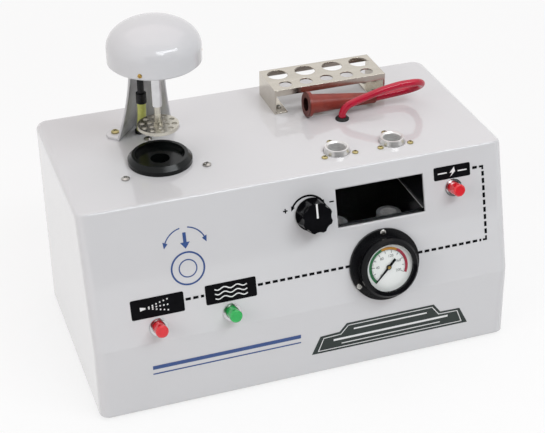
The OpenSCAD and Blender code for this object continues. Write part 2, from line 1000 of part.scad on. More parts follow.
module regulator_body() {
    neck_r = neck_d / 2;
    body_r = regulator_d / 2;
    color(alloy)
        on_panel(knob_x, knob_s)
            difference() {
                union() {
                    rotate_extrude()
                        polygon([[0, -wall - regulator_len], [body_r, -wall - regulator_len],
                            [body_r, -wall - regulator_len / 2], [neck_r + cut, -wall],
                            [neck_r, -wall], [neck_r, neck_out], [0, neck_out]]);
                    translate([0, 0, -wall - regulator_len + port_back])
                        for (turn = [-90, 90])
                            rotate([turn, 0, 0])
                                rod(port_r, 0, body_r + port_len);
                }
                rod(spindle_d / 2 + fit, -wall - spindle_back - gap, neck_out + cut);
            }
}

// Gauge

needle_angle = 224;
needle_rise = 0.8;
needle_t = 0.7;
hub_r = 2.2;
hub_h = 1.6;
spindle_r = 1;
arbor_back = 12;
needle_base_w = 2.2;
needle_tip_w = 0.6;
dial_hole_r = 1.7;
movement_stem_r = 4.5;
movement_stem_out = 16;
movement_block_r = 7;
movement_block_h = 8;
movement_post_r = 3.5;
bourdon_r = 17;
bourdon_angle = 250;
bourdon_wide = 4.5;
bourdon_thick = 1.8;
bourdon_z = -13;
cup_seat_r = dial_d / 2 + gap;
ledge = 2;
rim_wrap = 4;
rim_t = 1.5;
dial_face = dial_seat + dial_t;

module gauge_case() {
    color(black)
        on_panel(gauge_x, gauge_s)
            difference() {
                rotate_extrude()
                    polygon([[movement_stem_r + fit, -gauge_depth], [gauge_body_d / 2, -gauge_depth],
                        [gauge_body_d / 2, 0], [flange_d / 2, 0], [flange_d / 2, flange_t],
                        [cup_d / 2, flange_t], [cup_d / 2, cup_h], [cup_seat_r, cup_h],
                        [cup_seat_r, dial_seat], [cup_seat_r - ledge, dial_seat],
                        [cup_seat_r - ledge, -gauge_depth + gauge_wall],
                        [movement_stem_r + fit, -gauge_depth + gauge_wall]]);
                ring_of(screw_count, gauge_screw_r, screw_angle)
                    translate([0, 0, flange_t])
                        screw_hole(m3, flange_t + cut);
            }
}

module gauge_rim() {
    rim_r = cup_d / 2 + rim_t;
    color(black)
        on_panel(gauge_x, gauge_s)
            rotate_extrude()
                polygon([[dial_d / 2 - ledge / 2, cup_h], [cup_d / 2 + fit, cup_h],
                    [cup_d / 2 + fit, cup_h - rim_wrap], [rim_r, cup_h - rim_wrap],
                    [rim_r, cup_h], [rim_r - gauge_rim_t, cup_h + gauge_rim_t],
                    [dial_d / 2 - ledge / 2, cup_h + gauge_rim_t / 2]]);
}

module gauge_dial() {
    color("white")
        on_panel(gauge_x, gauge_s)
            tube(dial_d / 2, dial_hole_r, dial_seat, dial_face);
}

module gauge_lens() {
    color(clear_glass)
        on_panel(gauge_x, gauge_s)
            rod(cup_seat_r - fit, cup_h - lens_t, cup_h);
}

module gauge_needle() {
    low = dial_face + needle_rise;
    color(black)
        on_panel(gauge_x, gauge_s)
            rotate([0, 0, needle_angle]) {
                translate([0, 0, low])
                    linear_extrude(needle_t)
                        polygon([[-needle_tail, -needle_base_w / 2], [0, -needle_base_w / 2],
                            [needle_len, -needle_tip_w / 2], [needle_len, needle_tip_w / 2],
                            [0, needle_base_w / 2], [-needle_tail, needle_base_w / 2]]);
                rod(hub_r, low - gap, low - gap + hub_h);
                rod(spindle_r, dial_seat - arbor_back, low);
            }
}

module gauge_screws() {
    color(chrome)
        on_panel(gauge_x, gauge_s)
            ring_of(screw_count, gauge_screw_r, screw_angle)
                translate([0, 0, flange_t])
                    pan_screw(m3, flange_t + wall + m3);
}

module gauge_movement() {
    inside = -gauge_depth + gauge_wall;
    color(brass)
        on_panel(gauge_x, gauge_s)
            difference() {
                union() {
                    rod(movement_stem_r, -gauge_depth - movement_stem_out, inside + slice);
                    rod(movement_block_r, inside, inside + movement_block_h);
                    rod(movement_post_r, inside, dial_seat - ledge);
                    translate([0, -bourdon_wide / 2, inside])
                        cube([bourdon_r + bourdon_thick, bourdon_wide, bourdon_z - inside]);
                    translate([0, 0, bourdon_z])
                        rotate_extrude(angle = bourdon_angle)
                            translate([bourdon_r - bourdon_thick / 2, -bourdon_wide])
                                square([bourdon_thick, 2 * bourdon_wide]);
                }
                rod(spindle_r + fit, dial_seat - arbor_back - gap, dial_seat);
                rod(nozzle_bore / 2, -gauge_depth - movement_stem_out - cut, -gauge_depth);
            }
}

// Viewing hood behind the window, with its mirror floor

hood_clear = 1.5;
pane_w = window_w + 2 * pane_lap;
pane_h = window_h + 2 * pane_lap;
hood_front = -wall - pane_t;
hood_half = window_w / 2 + hood_clear;
ceiling_z = under_z - socket_flange_t;
mirror_low = top_z - mirror_drop - mirror_t;
hood_back_y = edge_y + hood_back;
function hood_y(z) = panel_y(0, hood_front) - (panel_z(0, hood_front) - z) * tan(tilt);

module hood_profile(grow, front) {
    low = mirror_low - grow;
    high = ceiling_z - hood_t + grow;
    translate([window_x - hood_half - grow, 0, 0])
        rotate([90, 0, 90])
            linear_extrude(2 * (hood_half + grow))
                polygon([[hood_y(low) - front, low], [hood_back_y + grow, low],
                    [hood_back_y + grow, high], [hood_y(high) - front, high]]);
}

module window_pane() {
    color(clear_glass)
        on_panel(window_x, window_s)
            translate([-pane_w / 2, -pane_h / 2, hood_front])
                cube([pane_w, pane_h, pane_t]);
}

module viewing_hood() {
    color(black)
        difference() {
            hood_profile(hood_t, 0);
            hood_profile(0, cut);
            for (x = socket_xs)
                on_top(x, socket_back)
                    rod(socket_d / 2 + gap, ceiling_z - hood_t - cut - top_z, ceiling_z + cut - top_z);
        }
}

module hood_mirror() {
    front = hood_y(mirror_low) + mirror_t;
    color([0.7, 0.75, 0.78])
        translate([window_x - hood_half + gap, front, mirror_low])
            cube([2 * (hood_half - gap), hood_back_y - front - gap, mirror_t]);
}

// Test sockets

socket_flange_r = 21;
socket_low = ceiling_z - hood_t - socket_drop - top_z;
mouth_cut = (socket_mouth - socket_bore) / 2;
module test_sockets() {
    color(alloy)
        for (x = socket_xs)
            on_top(x, socket_back)
                difference() {
                    union() {
                        rod(socket_d / 2, socket_low, slice);
                        cylinder(h = socket_h, d1 = socket_d, d2 = socket_top_d);
                        rod(socket_flange_r, -wall - socket_flange_t, -wall);
                    }
                    rod(socket_bore / 2, socket_low - cut, socket_h + cut);
                    translate([0, 0, socket_h - mouth_cut])
                        cylinder(h = mouth_cut + slice, d1 = socket_bore, d2 = socket_mouth);
                    ring_of(screw_count, socket_screw_r, screw_angle)
                        screw_hole(m3, wall + socket_flange_t + cut);
                }
}

module socket_screws() {
    color(zinc)
        for (x = socket_xs)
            on_top(x, socket_back)
                ring_of(screw_count, socket_screw_r, screw_angle)
                    pan_screw(m3, wall + socket_flange_t - gap);
}

socket_nut_t = 5;
module socket_nuts() {
    high = ceiling_z - hood_t - top_z;
    color(black)
        for (x = socket_xs)
            on_top(x, socket_back)
                tube(socket_nut_d / 2, socket_d / 2 + fit, high - socket_nut_t, high);
}

// Adapter rack

module hole_row(count, pitch, d) {
    for (i = [0:count - 1])
        translate([(i - (count - 1) / 2) * pitch, 0, 0])
            rod(d / 2, -cut, 2 * rack_t);
}

module adapter_rack() {
    color(steel)
        on_top(rack_x, rack_front)
            difference() {
                union() {
                    translate([-rack_w / 2, 0, rack_h - rack_t])
                        cube([rack_w, rack_d, rack_t]);
                    for (y = [0, rack_d - rack_t])
                        translate([-rack_w / 2, y, rack_h - rack_lip])
                            cube([rack_w, rack_t, rack_lip]);
                    for (x = [-rack_w / 2, rack_w / 2 - rack_t])
                        translate([x, 0, 0])
                            cube([rack_t, rack_d, rack_h]);
                    for (x = [-rack_w / 2, rack_w / 2 - rack_foot])
                        translate([x, 0, 0])
                            cube([rack_foot, rack_d, rack_t]);
                }
                translate([0, large_in, rack_h - rack_t])
                    hole_row(large_count, large_pitch, large_d);
                translate([0, small_in, rack_h - rack_t])
                    hole_row(small_count, small_pitch, small_d);
                for (side = [-1, 1], y = [rack_screw_in, rack_d - rack_screw_in])
                    translate([side * (rack_w / 2 - rack_foot / 2 - rack_t / 2), y, rack_t])
                        screw_hole(m3, rack_t + cut);
            }
}

module rack_screws() {
    color(steel)
        at_rack_screws()
            translate([0, 0, rack_t])
                pan_screw(m3, rack_t + wall + m3);
}

// High-tension lead: its bends are x, y and z from the middle of the grommet's top.

lead_bends = [
    [0, 0, 0], [0.4, 0, 3.8], [2, -0.3, 7.7], [4.9, -1, 11.1], [9.7, -2, 14],
    [17, -3.4, 17.1], [26, -4.8, 20.4], [36, -5.8, 23.7], [46.5, -6.4, 26], [57, -6.6, 27.3],
    [66.8, -6.5, 27.2], [72.8, -5.6, 26.4], [77.9, -3, 24.2], [81.3, 0.9, 20.9], [82.5, 5.5, 17],
    [81.3, 10.1, 13.1], [77.9, 14, 9.8], [72.8, 16.6, 7.6], [66.8, 17.5, 6.6], [54, 17.5, 5.7],
    [40.1, 17.5, 5]
];
boot_bend = [-30.4, 17.1, 10.1];
lead_start = [lead_x, lead_back, grommet_h];
lead_route = [for (p = lead_bends) lead_start + p];
boot_mouth = lead_start + boot_bend;
lead_sides = 10;
lead_end = lead_route[len(lead_route) - 1];
boot_run = boot_mouth - lead_end;
boot_len = norm(boot_run);
boot_swing = atan2(boot_run[1], boot_run[0]);
boot_lean = acos(boot_run[2] / boot_len);

module ht_lead() {
    color(lead_red)
        translate([0, edge_y, top_z])
            swept(lead_route, [0, 0, 1], boot_run, [0, 1, 0], lead_d / 2, lead_sides);
}

grommet_neck_r = 5;
grommet_flange_t = 2;
grommet_low = -wall - grommet_flange_t;
module lead_grommet() {
    color(rubber)
        on_top(lead_x, lead_back)
            rotate_extrude()
                polygon([[lead_d / 2 + fit, grommet_low], [grommet_d / 2, grommet_low],
                    [grommet_d / 2, -wall], [grommet_neck_r, -wall], [grommet_neck_r, 0],
                    [grommet_d / 2, 0], [grommet_d / 2, grommet_h / 2], [grommet_neck_r, grommet_h],
                    [lead_d / 2 + fit, grommet_h]]);
}

// The boot's bore narrows from its mouth to the room round the terminal.
terminal_d = 9;
terminal_room = 0.7;
boot_root_r = terminal_d / 2 + terminal_room;
module along_boot() {
    translate([lead_end[0], edge_y + lead_end[1], top_z + lead_end[2]])
        rotate([0, boot_lean, boot_swing])
            children();
}

module lead_boot() {
    color(boot_brown)
        along_boot()
            rotate_extrude()
                polygon([[0, 0], [boot_tip_d / 2, 0], [boot_d / 2, boot_len - boot_collar_t],
                    [boot_collar_d / 2, boot_len - boot_collar_t], [boot_collar_d / 2, boot_len],
                    [boot_mouth_d / 2, boot_len], [boot_root_r, boot_len - boot_depth],
                    [0, boot_len - boot_depth]]);
}

terminal_bore = 6.4;
terminal_len = 25;
terminal_floor = 2;
module boot_terminal() {
    low = boot_len - boot_depth;
    color(brass)
        along_boot()
            difference() {
                rod(terminal_d / 2, low, low + terminal_len);
                rod(terminal_bore / 2, low + terminal_floor, low + terminal_len + cut);
            }
}

coil_foot_t = 3;
coil_foot_rim = 5;
coil_cap_h = 8;
coil_tower_r = 9;
coil_tower_h = 24;
coil_top = floor_z + coil_h + coil_cap_h + coil_tower_h - top_z;
module coil_lead() {
    color(lead_red)
        on_top(lead_x, lead_back)
            rod(lead_d / 2, coil_top, grommet_h);
}

module ignition_coil() {
    low = floor_z - top_z;
    coil_r = coil_d / 2;
    foot_r = coil_r + coil_foot_rim;
    cap_z = low + coil_h + coil_cap_h;
    color(black)
        on_top(lead_x, lead_back)
            rotate_extrude()
                polygon([[0, low], [foot_r, low], [foot_r, low + coil_foot_t],
                    [coil_r, low + coil_foot_t], [coil_r, low + coil_h], [coil_r - coil_cap_h, cap_z],
                    [coil_tower_r, cap_z], [lead_d, coil_top], [0, coil_top]]);
}

board_side = 16;
board_back = 96;
board_w = 64;
board_x = case_w / 2 - wall - board_side - board_w / 2;
board_d = 96;
board_t = 1.6;
board_lift = 8;
board_leg_r = 3;
board_leg_in = 6;
transformer = [34, 40, 30];
capacitor_r = 6;
capacitor_h = 20;
module driver_board() {
    color(board_green)
        translate([board_x, edge_y + board_back, floor_z]) {
            for (x = [-1, 1], y = [-1, 1])
                translate([x * (board_w / 2 - board_leg_in), y * (board_d / 2 - board_leg_in), 0])
                    rod(board_leg_r, 0, board_lift + slice);
            translate([-board_w / 2, -board_d / 2, board_lift])
                cube([board_w, board_d, board_t]);
            translate([-transformer[0] / 2, 0, board_lift + board_t - slice])
                cube(transformer);
            for (x = [-1, 1])
                translate([x * capacitor_r * 2, -board_d / 4, board_lift + board_t - slice])
                    rod(capacitor_r, 0, capacitor_h);
        }
}

// Blast ring, chamber and nozzle

module blast_ring() {
    color(rubber)
        on_head()
            rotate_extrude()
                polygon([[ring_hole / 2, -spigot_len], [spigot_d / 2, -spigot_len], [spigot_d / 2, 0],
                    [ring_d / 2, 0], [ring_d / 2, ring_side], [ring_top_d / 2, ring_h],
                    [recess_d / 2, ring_h], [recess_d / 2 - cut, recess_floor],
                    [ring_hole / 2, recess_floor]]);
}

module ring_screws() {
    color(chrome)
        on_head()
            ring_of(screw_count, ring_screw_r, screw_angle)
                pan_screw(m4, wall + chamber_flange_t - gap);
}

hopper_floor = 3;
module blast_chamber() {
    high = -wall;
    flange_low = high - chamber_flange_t;
    cone_high = high - chamber_h;
    cone_low = cone_high - hopper_h;
    r_out = chamber_d / 2;
    r_in = r_out - chamber_wall;
    outlet = nozzle_d / 2 + fit;
    color(alloy)
        on_head()
            difference() {
                rotate_extrude()
                    polygon([[outlet, cone_low], [outlet + chamber_wall, cone_low], [r_out, cone_high],
                        [r_out, flange_low], [chamber_flange_d / 2, flange_low],
                        [chamber_flange_d / 2, high], [r_in, high], [r_in, cone_high],
                        [outlet, cone_low + hopper_floor]]);
                ring_of(screw_count, ring_screw_r, screw_angle)
                    screw_hole(m4, wall + chamber_flange_t + cut);
            }
}

nozzle_tip = 70;
nozzle_tip_r = 3.5;
nozzle_taper = 8;
nozzle_below = 12;
nozzle_collar = 3;
module blast_nozzle() {
    low = -wall - chamber_h - hopper_h - nozzle_below;
    outlet_z = low + nozzle_below;
    nozzle_r = nozzle_d / 2;
    collar_r = nozzle_r + nozzle_collar;
    color(steel)
        on_head()
            rotate_extrude()
                polygon([[nozzle_bore / 2, low], [nozzle_r, low], [nozzle_r, outlet_z - nozzle_collar],
                    [collar_r, outlet_z - nozzle_collar], [collar_r, outlet_z],
                    [nozzle_r, outlet_z], [nozzle_r, -nozzle_tip - nozzle_taper],
                    [nozzle_tip_r, -nozzle_tip], [nozzle_bore / 2, -nozzle_tip]]);
}

// Head: a leaning channel post carries the cylinder head, its dome and the plunger.

lean_power = 1.6;
flare_power = 2;
post_rings = 14;
post_rise = post_h + bracket_t / 2 - gap;
foot_turn = atan2(post_back_foot - post_front_foot, post_foot_half - post_back_half);
tab_hole = [11.3, 8.5];
tab_round = 3;

function fall(h, power) = pow(max(1 - h / post_h, 0), power);
function post_half(h) = post_top_half + (post_foot_half - post_top_half) * fall(h, flare_power);
function post_front(h) = post_front_top + (post_front_foot - post_front_top) * fall(h, lean_power);
function post_back(h) = post_back_top + (post_back_foot - post_back_top) * fall(h, lean_power);
// One side of the post's section at height h: the arm's front and back, offset by o across the sheet.
function arm(h, o) = let (
        span = [post_half(h) - post_back_half, post_back(h) - post_front(h)],
        a = span[0] / norm(span),
        b = span[1] / norm(span),
        front = [post_half(h) + b * o, post_front(h) + a * o],
        back_line = post_back(h) + o
    ) [front, [front[0] - a * (back_line - front[1]) / b, back_line]];
function post_section(h) = let (inside = arm(h, -bracket_t / 2), outside = arm(h, bracket_t / 2)) [
    [-inside[0][0], inside[0][1], h], [-inside[1][0], inside[1][1], h],
    [inside[1][0], inside[1][1], h], [inside[0][0], inside[0][1], h],
    [outside[0][0], outside[0][1], h], [outside[1][0], outside[1][1], h],
    [-outside[1][0], outside[1][1], h], [-outside[0][0], outside[0][1], h]
];

// The section is folded, so each end is closed by one face for each of its three stretches of sheet.
post_sides = len(post_section(0));
post_end = [for (k = [0:post_sides / 2 - 2]) [k, k + 1, post_sides - 2 - k, post_sides - 1 - k]];
module post() {
    polyhedron(
        points = [for (i = [0:post_rings]) each post_section(gap + post_rise * i / post_rings)],
        faces = concat(loft_sides(post_rings + 1, post_sides), post_end,
            [for (f = post_end) [for (k = [len(f) - 1:-1:0]) post_rings * post_sides + f[k]]])
    );
}

module both_sides() {
    children();
    mirror([1, 0, 0])
        children();
}

// Local X runs back along the foot of the right arm, and local Y runs outward from it.
module at_foot() {
    translate([post_foot_half, post_front_foot, 0])
        rotate([0, 0, 180 - foot_turn])
            mirror([0, 1, 0])
                children();
}

module at_tab_holes() {
    both_sides()
        at_foot()
            translate([tab_hole[0], tab_hole[1], 0])
                children();
}

module foot_tab() {
    difference() {
        translate([cut, 0, 0])
            cube([tab_len - cut, tab_w, bracket_t]);
        for (x = [cut, tab_len])
            translate([x, tab_w, bracket_t / 2])
                rotate([0, 0, 45])
                    cube([2 * tab_round, 2 * tab_round, 2 * bracket_t], center = true);
    }
}

plate_low = post_h + bracket_t;
flange_half = post_top_half + bracket_t;
plate_high = plate_low + plate_t;
module head_bracket() {
    color(paint)
        on_head()
            difference() {
                union() {
                    post();
                    both_sides()
                        at_foot()
                            foot_tab();
                    translate([-flange_half, 0, post_h])
                        cube([2 * flange_half, post_back_top + bracket_t, bracket_t]);
                    rod(flange_half, post_h, plate_low);
                }
                at_tab_holes()
                    translate([0, 0, bracket_t])
                        screw_hole(m4, bracket_t + cut);
                rod(sleeve_d / 2 + gap, post_h - cut, plate_low + cut);
                translate([hose_dx, hose_dy, 0])
                    rod(stem_d / 2 + gap, post_h - cut, plate_low + cut);
                at_head_screws()
                    rod(m4 / 2 + screw_slack, post_h - cut, plate_low + cut);
            }
}

head_screw_x = 9.5;
head_screw_y = 18;
module at_head_screws() {
    for (side = [-1, 1])
        translate([side * head_screw_x, head_screw_y, 0])
            children();
}

head_screw_len = 7;
module bracket_screws() {
    color(zinc)
        on_head() {
            at_tab_holes()
                translate([0, 0, bracket_t])
                    pan_screw(m4, bracket_t + wall + m4);
            at_head_screws()
                translate([0, 0, post_h])
                    mirror([0, 0, 1])
                        pan_screw(m4, head_screw_len);
        }
}

dome_low = plate_low - dome_drop;
dome_r = dome_d / 2;
cap_steps = 24;
function cap_curve(r, low, rise) = [for (i = [0:cap_steps])
    let (a = quarter * i / cap_steps)
        [r * cos(a), low + rise * sin(a)]];
dome_screw_angle = -122;
dome_screw_z = plate_low + plate_t / 2 + cut;
module at_dome_screws() {
    translate([0, 0, dome_screw_z])
        ring_of(screw_count, dome_r, dome_screw_angle)
            rotate([0, 90, 0])
                children();
}

module head_dome() {
    inner = dome_r - dome_wall;
    shoulder = dome_low + dome_rim;
    color(paint)
        on_head()
            difference() {
                rotate_extrude()
                    polygon(concat([[0, dome_low], [dome_r, dome_low]],
                        cap_curve(dome_r, shoulder, dome_cap)));
                rotate_extrude()
                    polygon(concat([[0, dome_low - cut], [inner, dome_low - cut]],
                        cap_curve(inner, shoulder, dome_cap - dome_wall)));
                at_dome_screws()
                    screw_hole(m2, dome_wall + cut);
            }
}

dome_screw_len = 7;
module dome_screws() {
    color(brass)
        on_head()
            at_dome_screws()
                pan_screw(m2, dome_screw_len);
}

sleeve_into = 6;
air_way_r = 1.5;
air_way_z = plate_low + sleeve_into - air_way_r - cut / 2;
module cylinder_head() {
    color(alloy)
        on_head()
            difference() {
                rod(dome_r - dome_wall - gap, plate_low, plate_high);
                rod(sleeve_d / 2 + fit, plate_low - cut, plate_low + sleeve_into);
                translate([hose_dx, hose_dy, 0])
                    rod(stem_d / 2 + fit, plate_low - cut, plate_low + sleeve_into);
                at_dome_screws()
                    screw_hole(m2, dome_screw_len + cut);
                at_head_screws()
                    rod(m4 / 2 + screw_slack, plate_low - cut, plate_low + head_screw_len);
                translate([0, 0, air_way_z])
                    rotate([0, 0, atan2(hose_dy, hose_dx)])
                        rotate([0, 90, 0])
                            rod(air_way_r, 0, norm([hose_dx, hose_dy]));
            }
}

sleeve_high = air_way_z - air_way_r;
module cylinder_sleeve() {
    color(chrome)
        on_head()
            difference() {
                rod(sleeve_d / 2, sleeve_low, sleeve_high);
                rod(sleeve_bore / 2, sleeve_low + sleeve_bush, sleeve_high + cut);
                rod(rod_d / 2 + fit, sleeve_low - cut, sleeve_low + sleeve_bush + cut);
            }
}

// The plunger's rod carries a piston at its top and screws into the disc at its foot.
piston_len = 5;
piston_high = sleeve_high - cut;
disc_low = disc_top - disc_t;
disc_skin = 1.5;
disc_boss_r = 4;
disc_boss_h = 3;
module plunger_rod() {
    color(steel)
        on_head() {
            rod(rod_d / 2, disc_low + disc_skin, piston_high);
            rod(sleeve_bore / 2 - fit, piston_high - piston_len, piston_high);
        }
}

// The plunger's spring fills the room between the rod and the bore, less a clearance at each.
plunger_turns = 10;
plunger_rings = 16;
plunger_clear = 0.1;
plunger_chord = cos(180 / plunger_rings);
plunger_outer = sleeve_bore / 2 - plunger_clear;
plunger_inner = rod_d / 2 + plunger_clear;
plunger_wire = 2 * (plunger_outer * plunger_chord - plunger_inner) / (1 + plunger_chord);
module plunger_spring() {
    color(steel)
        on_head()
            coil_spring(plunger_outer - plunger_wire / 2, plunger_wire, plunger_turns, plunger_rings,
                sleeve_low + sleeve_bush, piston_high - piston_len);
}

module presser_disc() {
    color(steel)
        on_head()
            difference() {
                union() {
                    rod(disc_d / 2, disc_low, disc_top);
                    rod(disc_boss_r, disc_low, disc_top + disc_boss_h);
                }
                ring_of(disc_outer, disc_outer_r, screw_angle)
                    rod(disc_hole / 2, disc_low - cut, disc_top + cut);
                ring_of(disc_inner, disc_inner_r, screw_angle)
                    rod(disc_hole / 2, disc_low - cut, disc_top + cut);
                rod(rod_d / 2 + fit, disc_low + disc_skin, disc_top + disc_boss_h + cut);
            }
}

// Air hose from the bulkhead in the top to the fitting under the cylinder head

bulkhead_r = 3.5;
bulkhead_rim_r = 5.4;
bulkhead_h = 2.5;
bulkhead_tail = 12;
hose_rings = 10;
hose_sides = 12;
neck_len = 9;
// From its bulkhead the hose leans forward in a straight run, then bends upright into its fitting.
hose_arc_r = hose_bend * hose_d;
hose_way = [sin(hose_swing), cos(hose_swing)];
hose_straight = (collar_low - hose_arc_r * sin(hose_lean)) / cos(hose_lean);
hose_side = hose_arc_r * (1 - cos(hose_lean)) + hose_straight * sin(hose_lean);
hose_foot = [hose_dx, hose_dy] + hose_side * hose_way;
hose_from = [-sin(hose_lean) * hose_way[0], -sin(hose_lean) * hose_way[1], cos(hose_lean)];
function hose_point(a) = let (aside = hose_arc_r * (1 - cos(a)))
    [hose_dx + aside * hose_way[0], hose_dy + aside * hose_way[1], collar_low - hose_arc_r * sin(a)];
hose_path = concat([[hose_foot[0], hose_foot[1], 0] + neck_len * hose_from],
    [for (i = [hose_rings:-1:0]) hose_point(hose_lean * i / hose_rings)]);

module hose_fitting() {
    color(black)
        on_head()
            translate([hose_dx, hose_dy, 0]) {
                rod(collar_d / 2, collar_low, collar_low + collar_len);
                rod(stem_d / 2, collar_low, sleeve_high);
            }
}

module air_hose() {
    color(hose_yellow)
        on_head()
            swept(hose_path, hose_from, [0, 0, 1], [1, 0, 0], hose_d / 2, hose_sides);
}

module hose_bulkhead() {
    neck_low = hose_d / 2 * tan(hose_lean) + slice;
    color(black)
        on_head()
            translate([hose_foot[0], hose_foot[1], 0]) {
                rod(bulkhead_rim_r, 0, bulkhead_h);
                rod(bulkhead_r, -wall - bulkhead_tail, slice);
                rotate([hose_lean, 0, -hose_swing])
                    rod(hose_d / 2, neck_low, neck_len);
            }
}

case_shell();
base_plate();
rear_panel();
cover_screws();
rubber_feet();
air_inlet();
mains_gland();
blast_button();
air_button();
tester_button();
button_bezels();
button_nuts();
blast_valve();
air_valve();
tester_switch();
blast_spring();
air_spring();
tester_spring();
pressure_knob();
regulator_spindle();
regulator_nut();
regulator_body();
gauge_case();
gauge_rim();
gauge_dial();
gauge_needle();
gauge_lens();
gauge_screws();
gauge_movement();
window_pane();
viewing_hood();
hood_mirror();
test_sockets();
socket_screws();
socket_nuts();
adapter_rack();
rack_screws();
ht_lead();
lead_grommet();
lead_boot();
boot_terminal();
coil_lead();
ignition_coil();
driver_board();
blast_ring();
ring_screws();
blast_chamber();
blast_nozzle();
head_bracket();
bracket_screws();
head_dome();
dome_screws();
cylinder_head();
cylinder_sleeve();
plunger_rod();
plunger_spring();
presser_disc();
hose_fitting();
air_hose();
hose_bulkhead();
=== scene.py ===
# Looks of the spark plug cleaner and tester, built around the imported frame
import math

import bmesh
import bpy
from mathutils import Matrix, Vector


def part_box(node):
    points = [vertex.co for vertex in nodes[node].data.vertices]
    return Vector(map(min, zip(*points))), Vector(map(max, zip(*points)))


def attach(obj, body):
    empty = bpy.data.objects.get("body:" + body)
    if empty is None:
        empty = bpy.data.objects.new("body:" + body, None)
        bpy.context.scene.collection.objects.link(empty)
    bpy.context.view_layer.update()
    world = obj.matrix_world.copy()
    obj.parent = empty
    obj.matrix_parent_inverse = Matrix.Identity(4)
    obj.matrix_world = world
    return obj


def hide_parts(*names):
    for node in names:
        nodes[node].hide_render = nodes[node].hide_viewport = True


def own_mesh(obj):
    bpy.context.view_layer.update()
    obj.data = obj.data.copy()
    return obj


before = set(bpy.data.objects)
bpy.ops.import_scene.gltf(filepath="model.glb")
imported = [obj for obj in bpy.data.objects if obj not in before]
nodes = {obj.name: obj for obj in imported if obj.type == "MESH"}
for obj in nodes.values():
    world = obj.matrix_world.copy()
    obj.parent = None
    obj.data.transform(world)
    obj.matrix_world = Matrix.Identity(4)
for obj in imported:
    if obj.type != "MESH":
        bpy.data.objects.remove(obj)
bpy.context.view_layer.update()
scene = bpy.context.scene
MM = 0.001

# Planes of the case in mm: the top's front edge, the sloped panel and the lower wall
EDGE_Y, TOP_Z = -75.0, 196.0
PANEL_RUN, PANEL_DROP = 34.0, 122.0
WALL_Y, WALL_Z, WALL_RUN, WALL_RISE = -111.0, 3.0, 2.0, 71.0
TILT = math.atan(PANEL_RUN / PANEL_DROP)
SN, CS = math.sin(TILT), math.cos(TILT)
PANEL_TURN = Matrix.Rotation(math.radians(90) - TILT, 4, "X")


# Places in metres: s runs down the panel, back runs behind the front edge, off and h stand out
def on_panel(x, s, off):
    return Vector((x, EDGE_Y - s * SN - off * CS, TOP_Z - s * CS + off * SN)) * MM


def on_wall(x, z, off):
    return Vector((x, WALL_Y + WALL_RUN * (z - WALL_Z) / WALL_RISE - off, z)) * MM


def on_top(x, back, h):
    return Vector((x, EDGE_Y + back, TOP_Z + h)) * MM


def put(name, data):
    ob = bpy.data.objects.new(name, data)
    scene.collection.objects.link(ob)
    return ob


# Camera
CAM_AZ, CAM_EL, CAM_ROLL = (math.radians(a) for a in (-18.85, 31.57, -0.51))
CAM_PLACE = (-366.0, -1074.7, 809.0)
CAM_SENSOR, CAM_LENS = 36, 91.93


def camera():
    level = math.cos(CAM_EL)
    back = Vector((math.sin(CAM_AZ) * level, -math.cos(CAM_AZ) * level, math.sin(CAM_EL)))
    right = Vector((math.cos(CAM_AZ), math.sin(CAM_AZ), 0))
    up = back.cross(right)
    c, s = math.cos(CAM_ROLL), math.sin(CAM_ROLL)
    place = Matrix((right * c + up * s, up * c - right * s, back)).transposed().to_4x4()
    place.translation = Vector(CAM_PLACE) * MM
    data = bpy.data.cameras.new("camera")
    data.sensor_width = CAM_SENSOR
    data.sensor_fit = "HORIZONTAL"
    data.lens = CAM_LENS
    cam = put("camera", data)
    cam.matrix_world = place
    scene.camera = cam


camera()


# Node building: an input takes a plain value or another node's output
def feed(tree, target, inputs):
    for key, value in inputs.items():
        if isinstance(value, bpy.types.NodeSocket):
            tree.links.new(value, target.inputs[key])
        else:
            target.inputs[key].default_value = value


def node(tree, kind, inputs=None, **settings):
    n = tree.nodes.new(kind)
    for key, value in settings.items():
        setattr(n, key, value)
    feed(tree, n, inputs or {})
    return n


def material(name):
    mat = bpy.data.materials.new(name)
    mat.use_nodes = True
    tree = mat.node_tree
    return mat, tree, tree.nodes["Principled BSDF"]


def place_in(tree):
    return node(tree, "ShaderNodeTexCoord").outputs["Object"]


def calc(tree, operation, *terms):
    return node(tree, "ShaderNodeMath", dict(enumerate(terms)), operation=operation).outputs[0]


def vector(tree, operation, *terms):
    n = node(tree, "ShaderNodeVectorMath", dict(enumerate(terms)), operation=operation)
    return n.outputs["Value" if operation in ("LENGTH", "DOT_PRODUCT") else "Vector"]


def span(tree, value, given, wanted):
    ends = {"From Min": given[0], "From Max": given[1], "To Min": wanted[0], "To Max": wanted[1]}
    return node(tree, "ShaderNodeMapRange", {"Value": value, **ends}).outputs["Result"]


def parts(tree, place):
    return node(tree, "ShaderNodeSeparateXYZ", {"Vector": place}).outputs


# Sockets of the mix node for its two data types: first input, second input, result
MIX_SOCKETS = {"VECTOR": (4, 5, 1), "RGBA": (6, 7, 2)}


def mixed(tree, kind, factor, first, second, **settings):
    a, b, result = MIX_SOCKETS[kind]
    n = node(tree, "ShaderNodeMix", {0: factor, a: first, b: second}, data_type=kind, **settings)
    return n.outputs[result]


def output(tree, first, second, share):
    mix = node(tree, "ShaderNodeMixShader", {0: share, 1: first.outputs[0], 2: second.outputs[0]})
    feed(tree, tree.nodes["Material Output"], {"Surface": mix.outputs[0]})


NOISE_ROUGH, GRAIN_DETAIL = 0.55, 3.0


def noise(tree, scale, detail=4.0, stretch=(1, 1, 1)):
    place = node(tree, "ShaderNodeMapping", {"Vector": place_in(tree), "Scale": stretch}).outputs["Vector"]
    inputs = {"Vector": place, "Scale": scale, "Detail": detail, "Roughness": NOISE_ROUGH}
    return node(tree, "ShaderNodeTexNoise", inputs).outputs["Fac"]


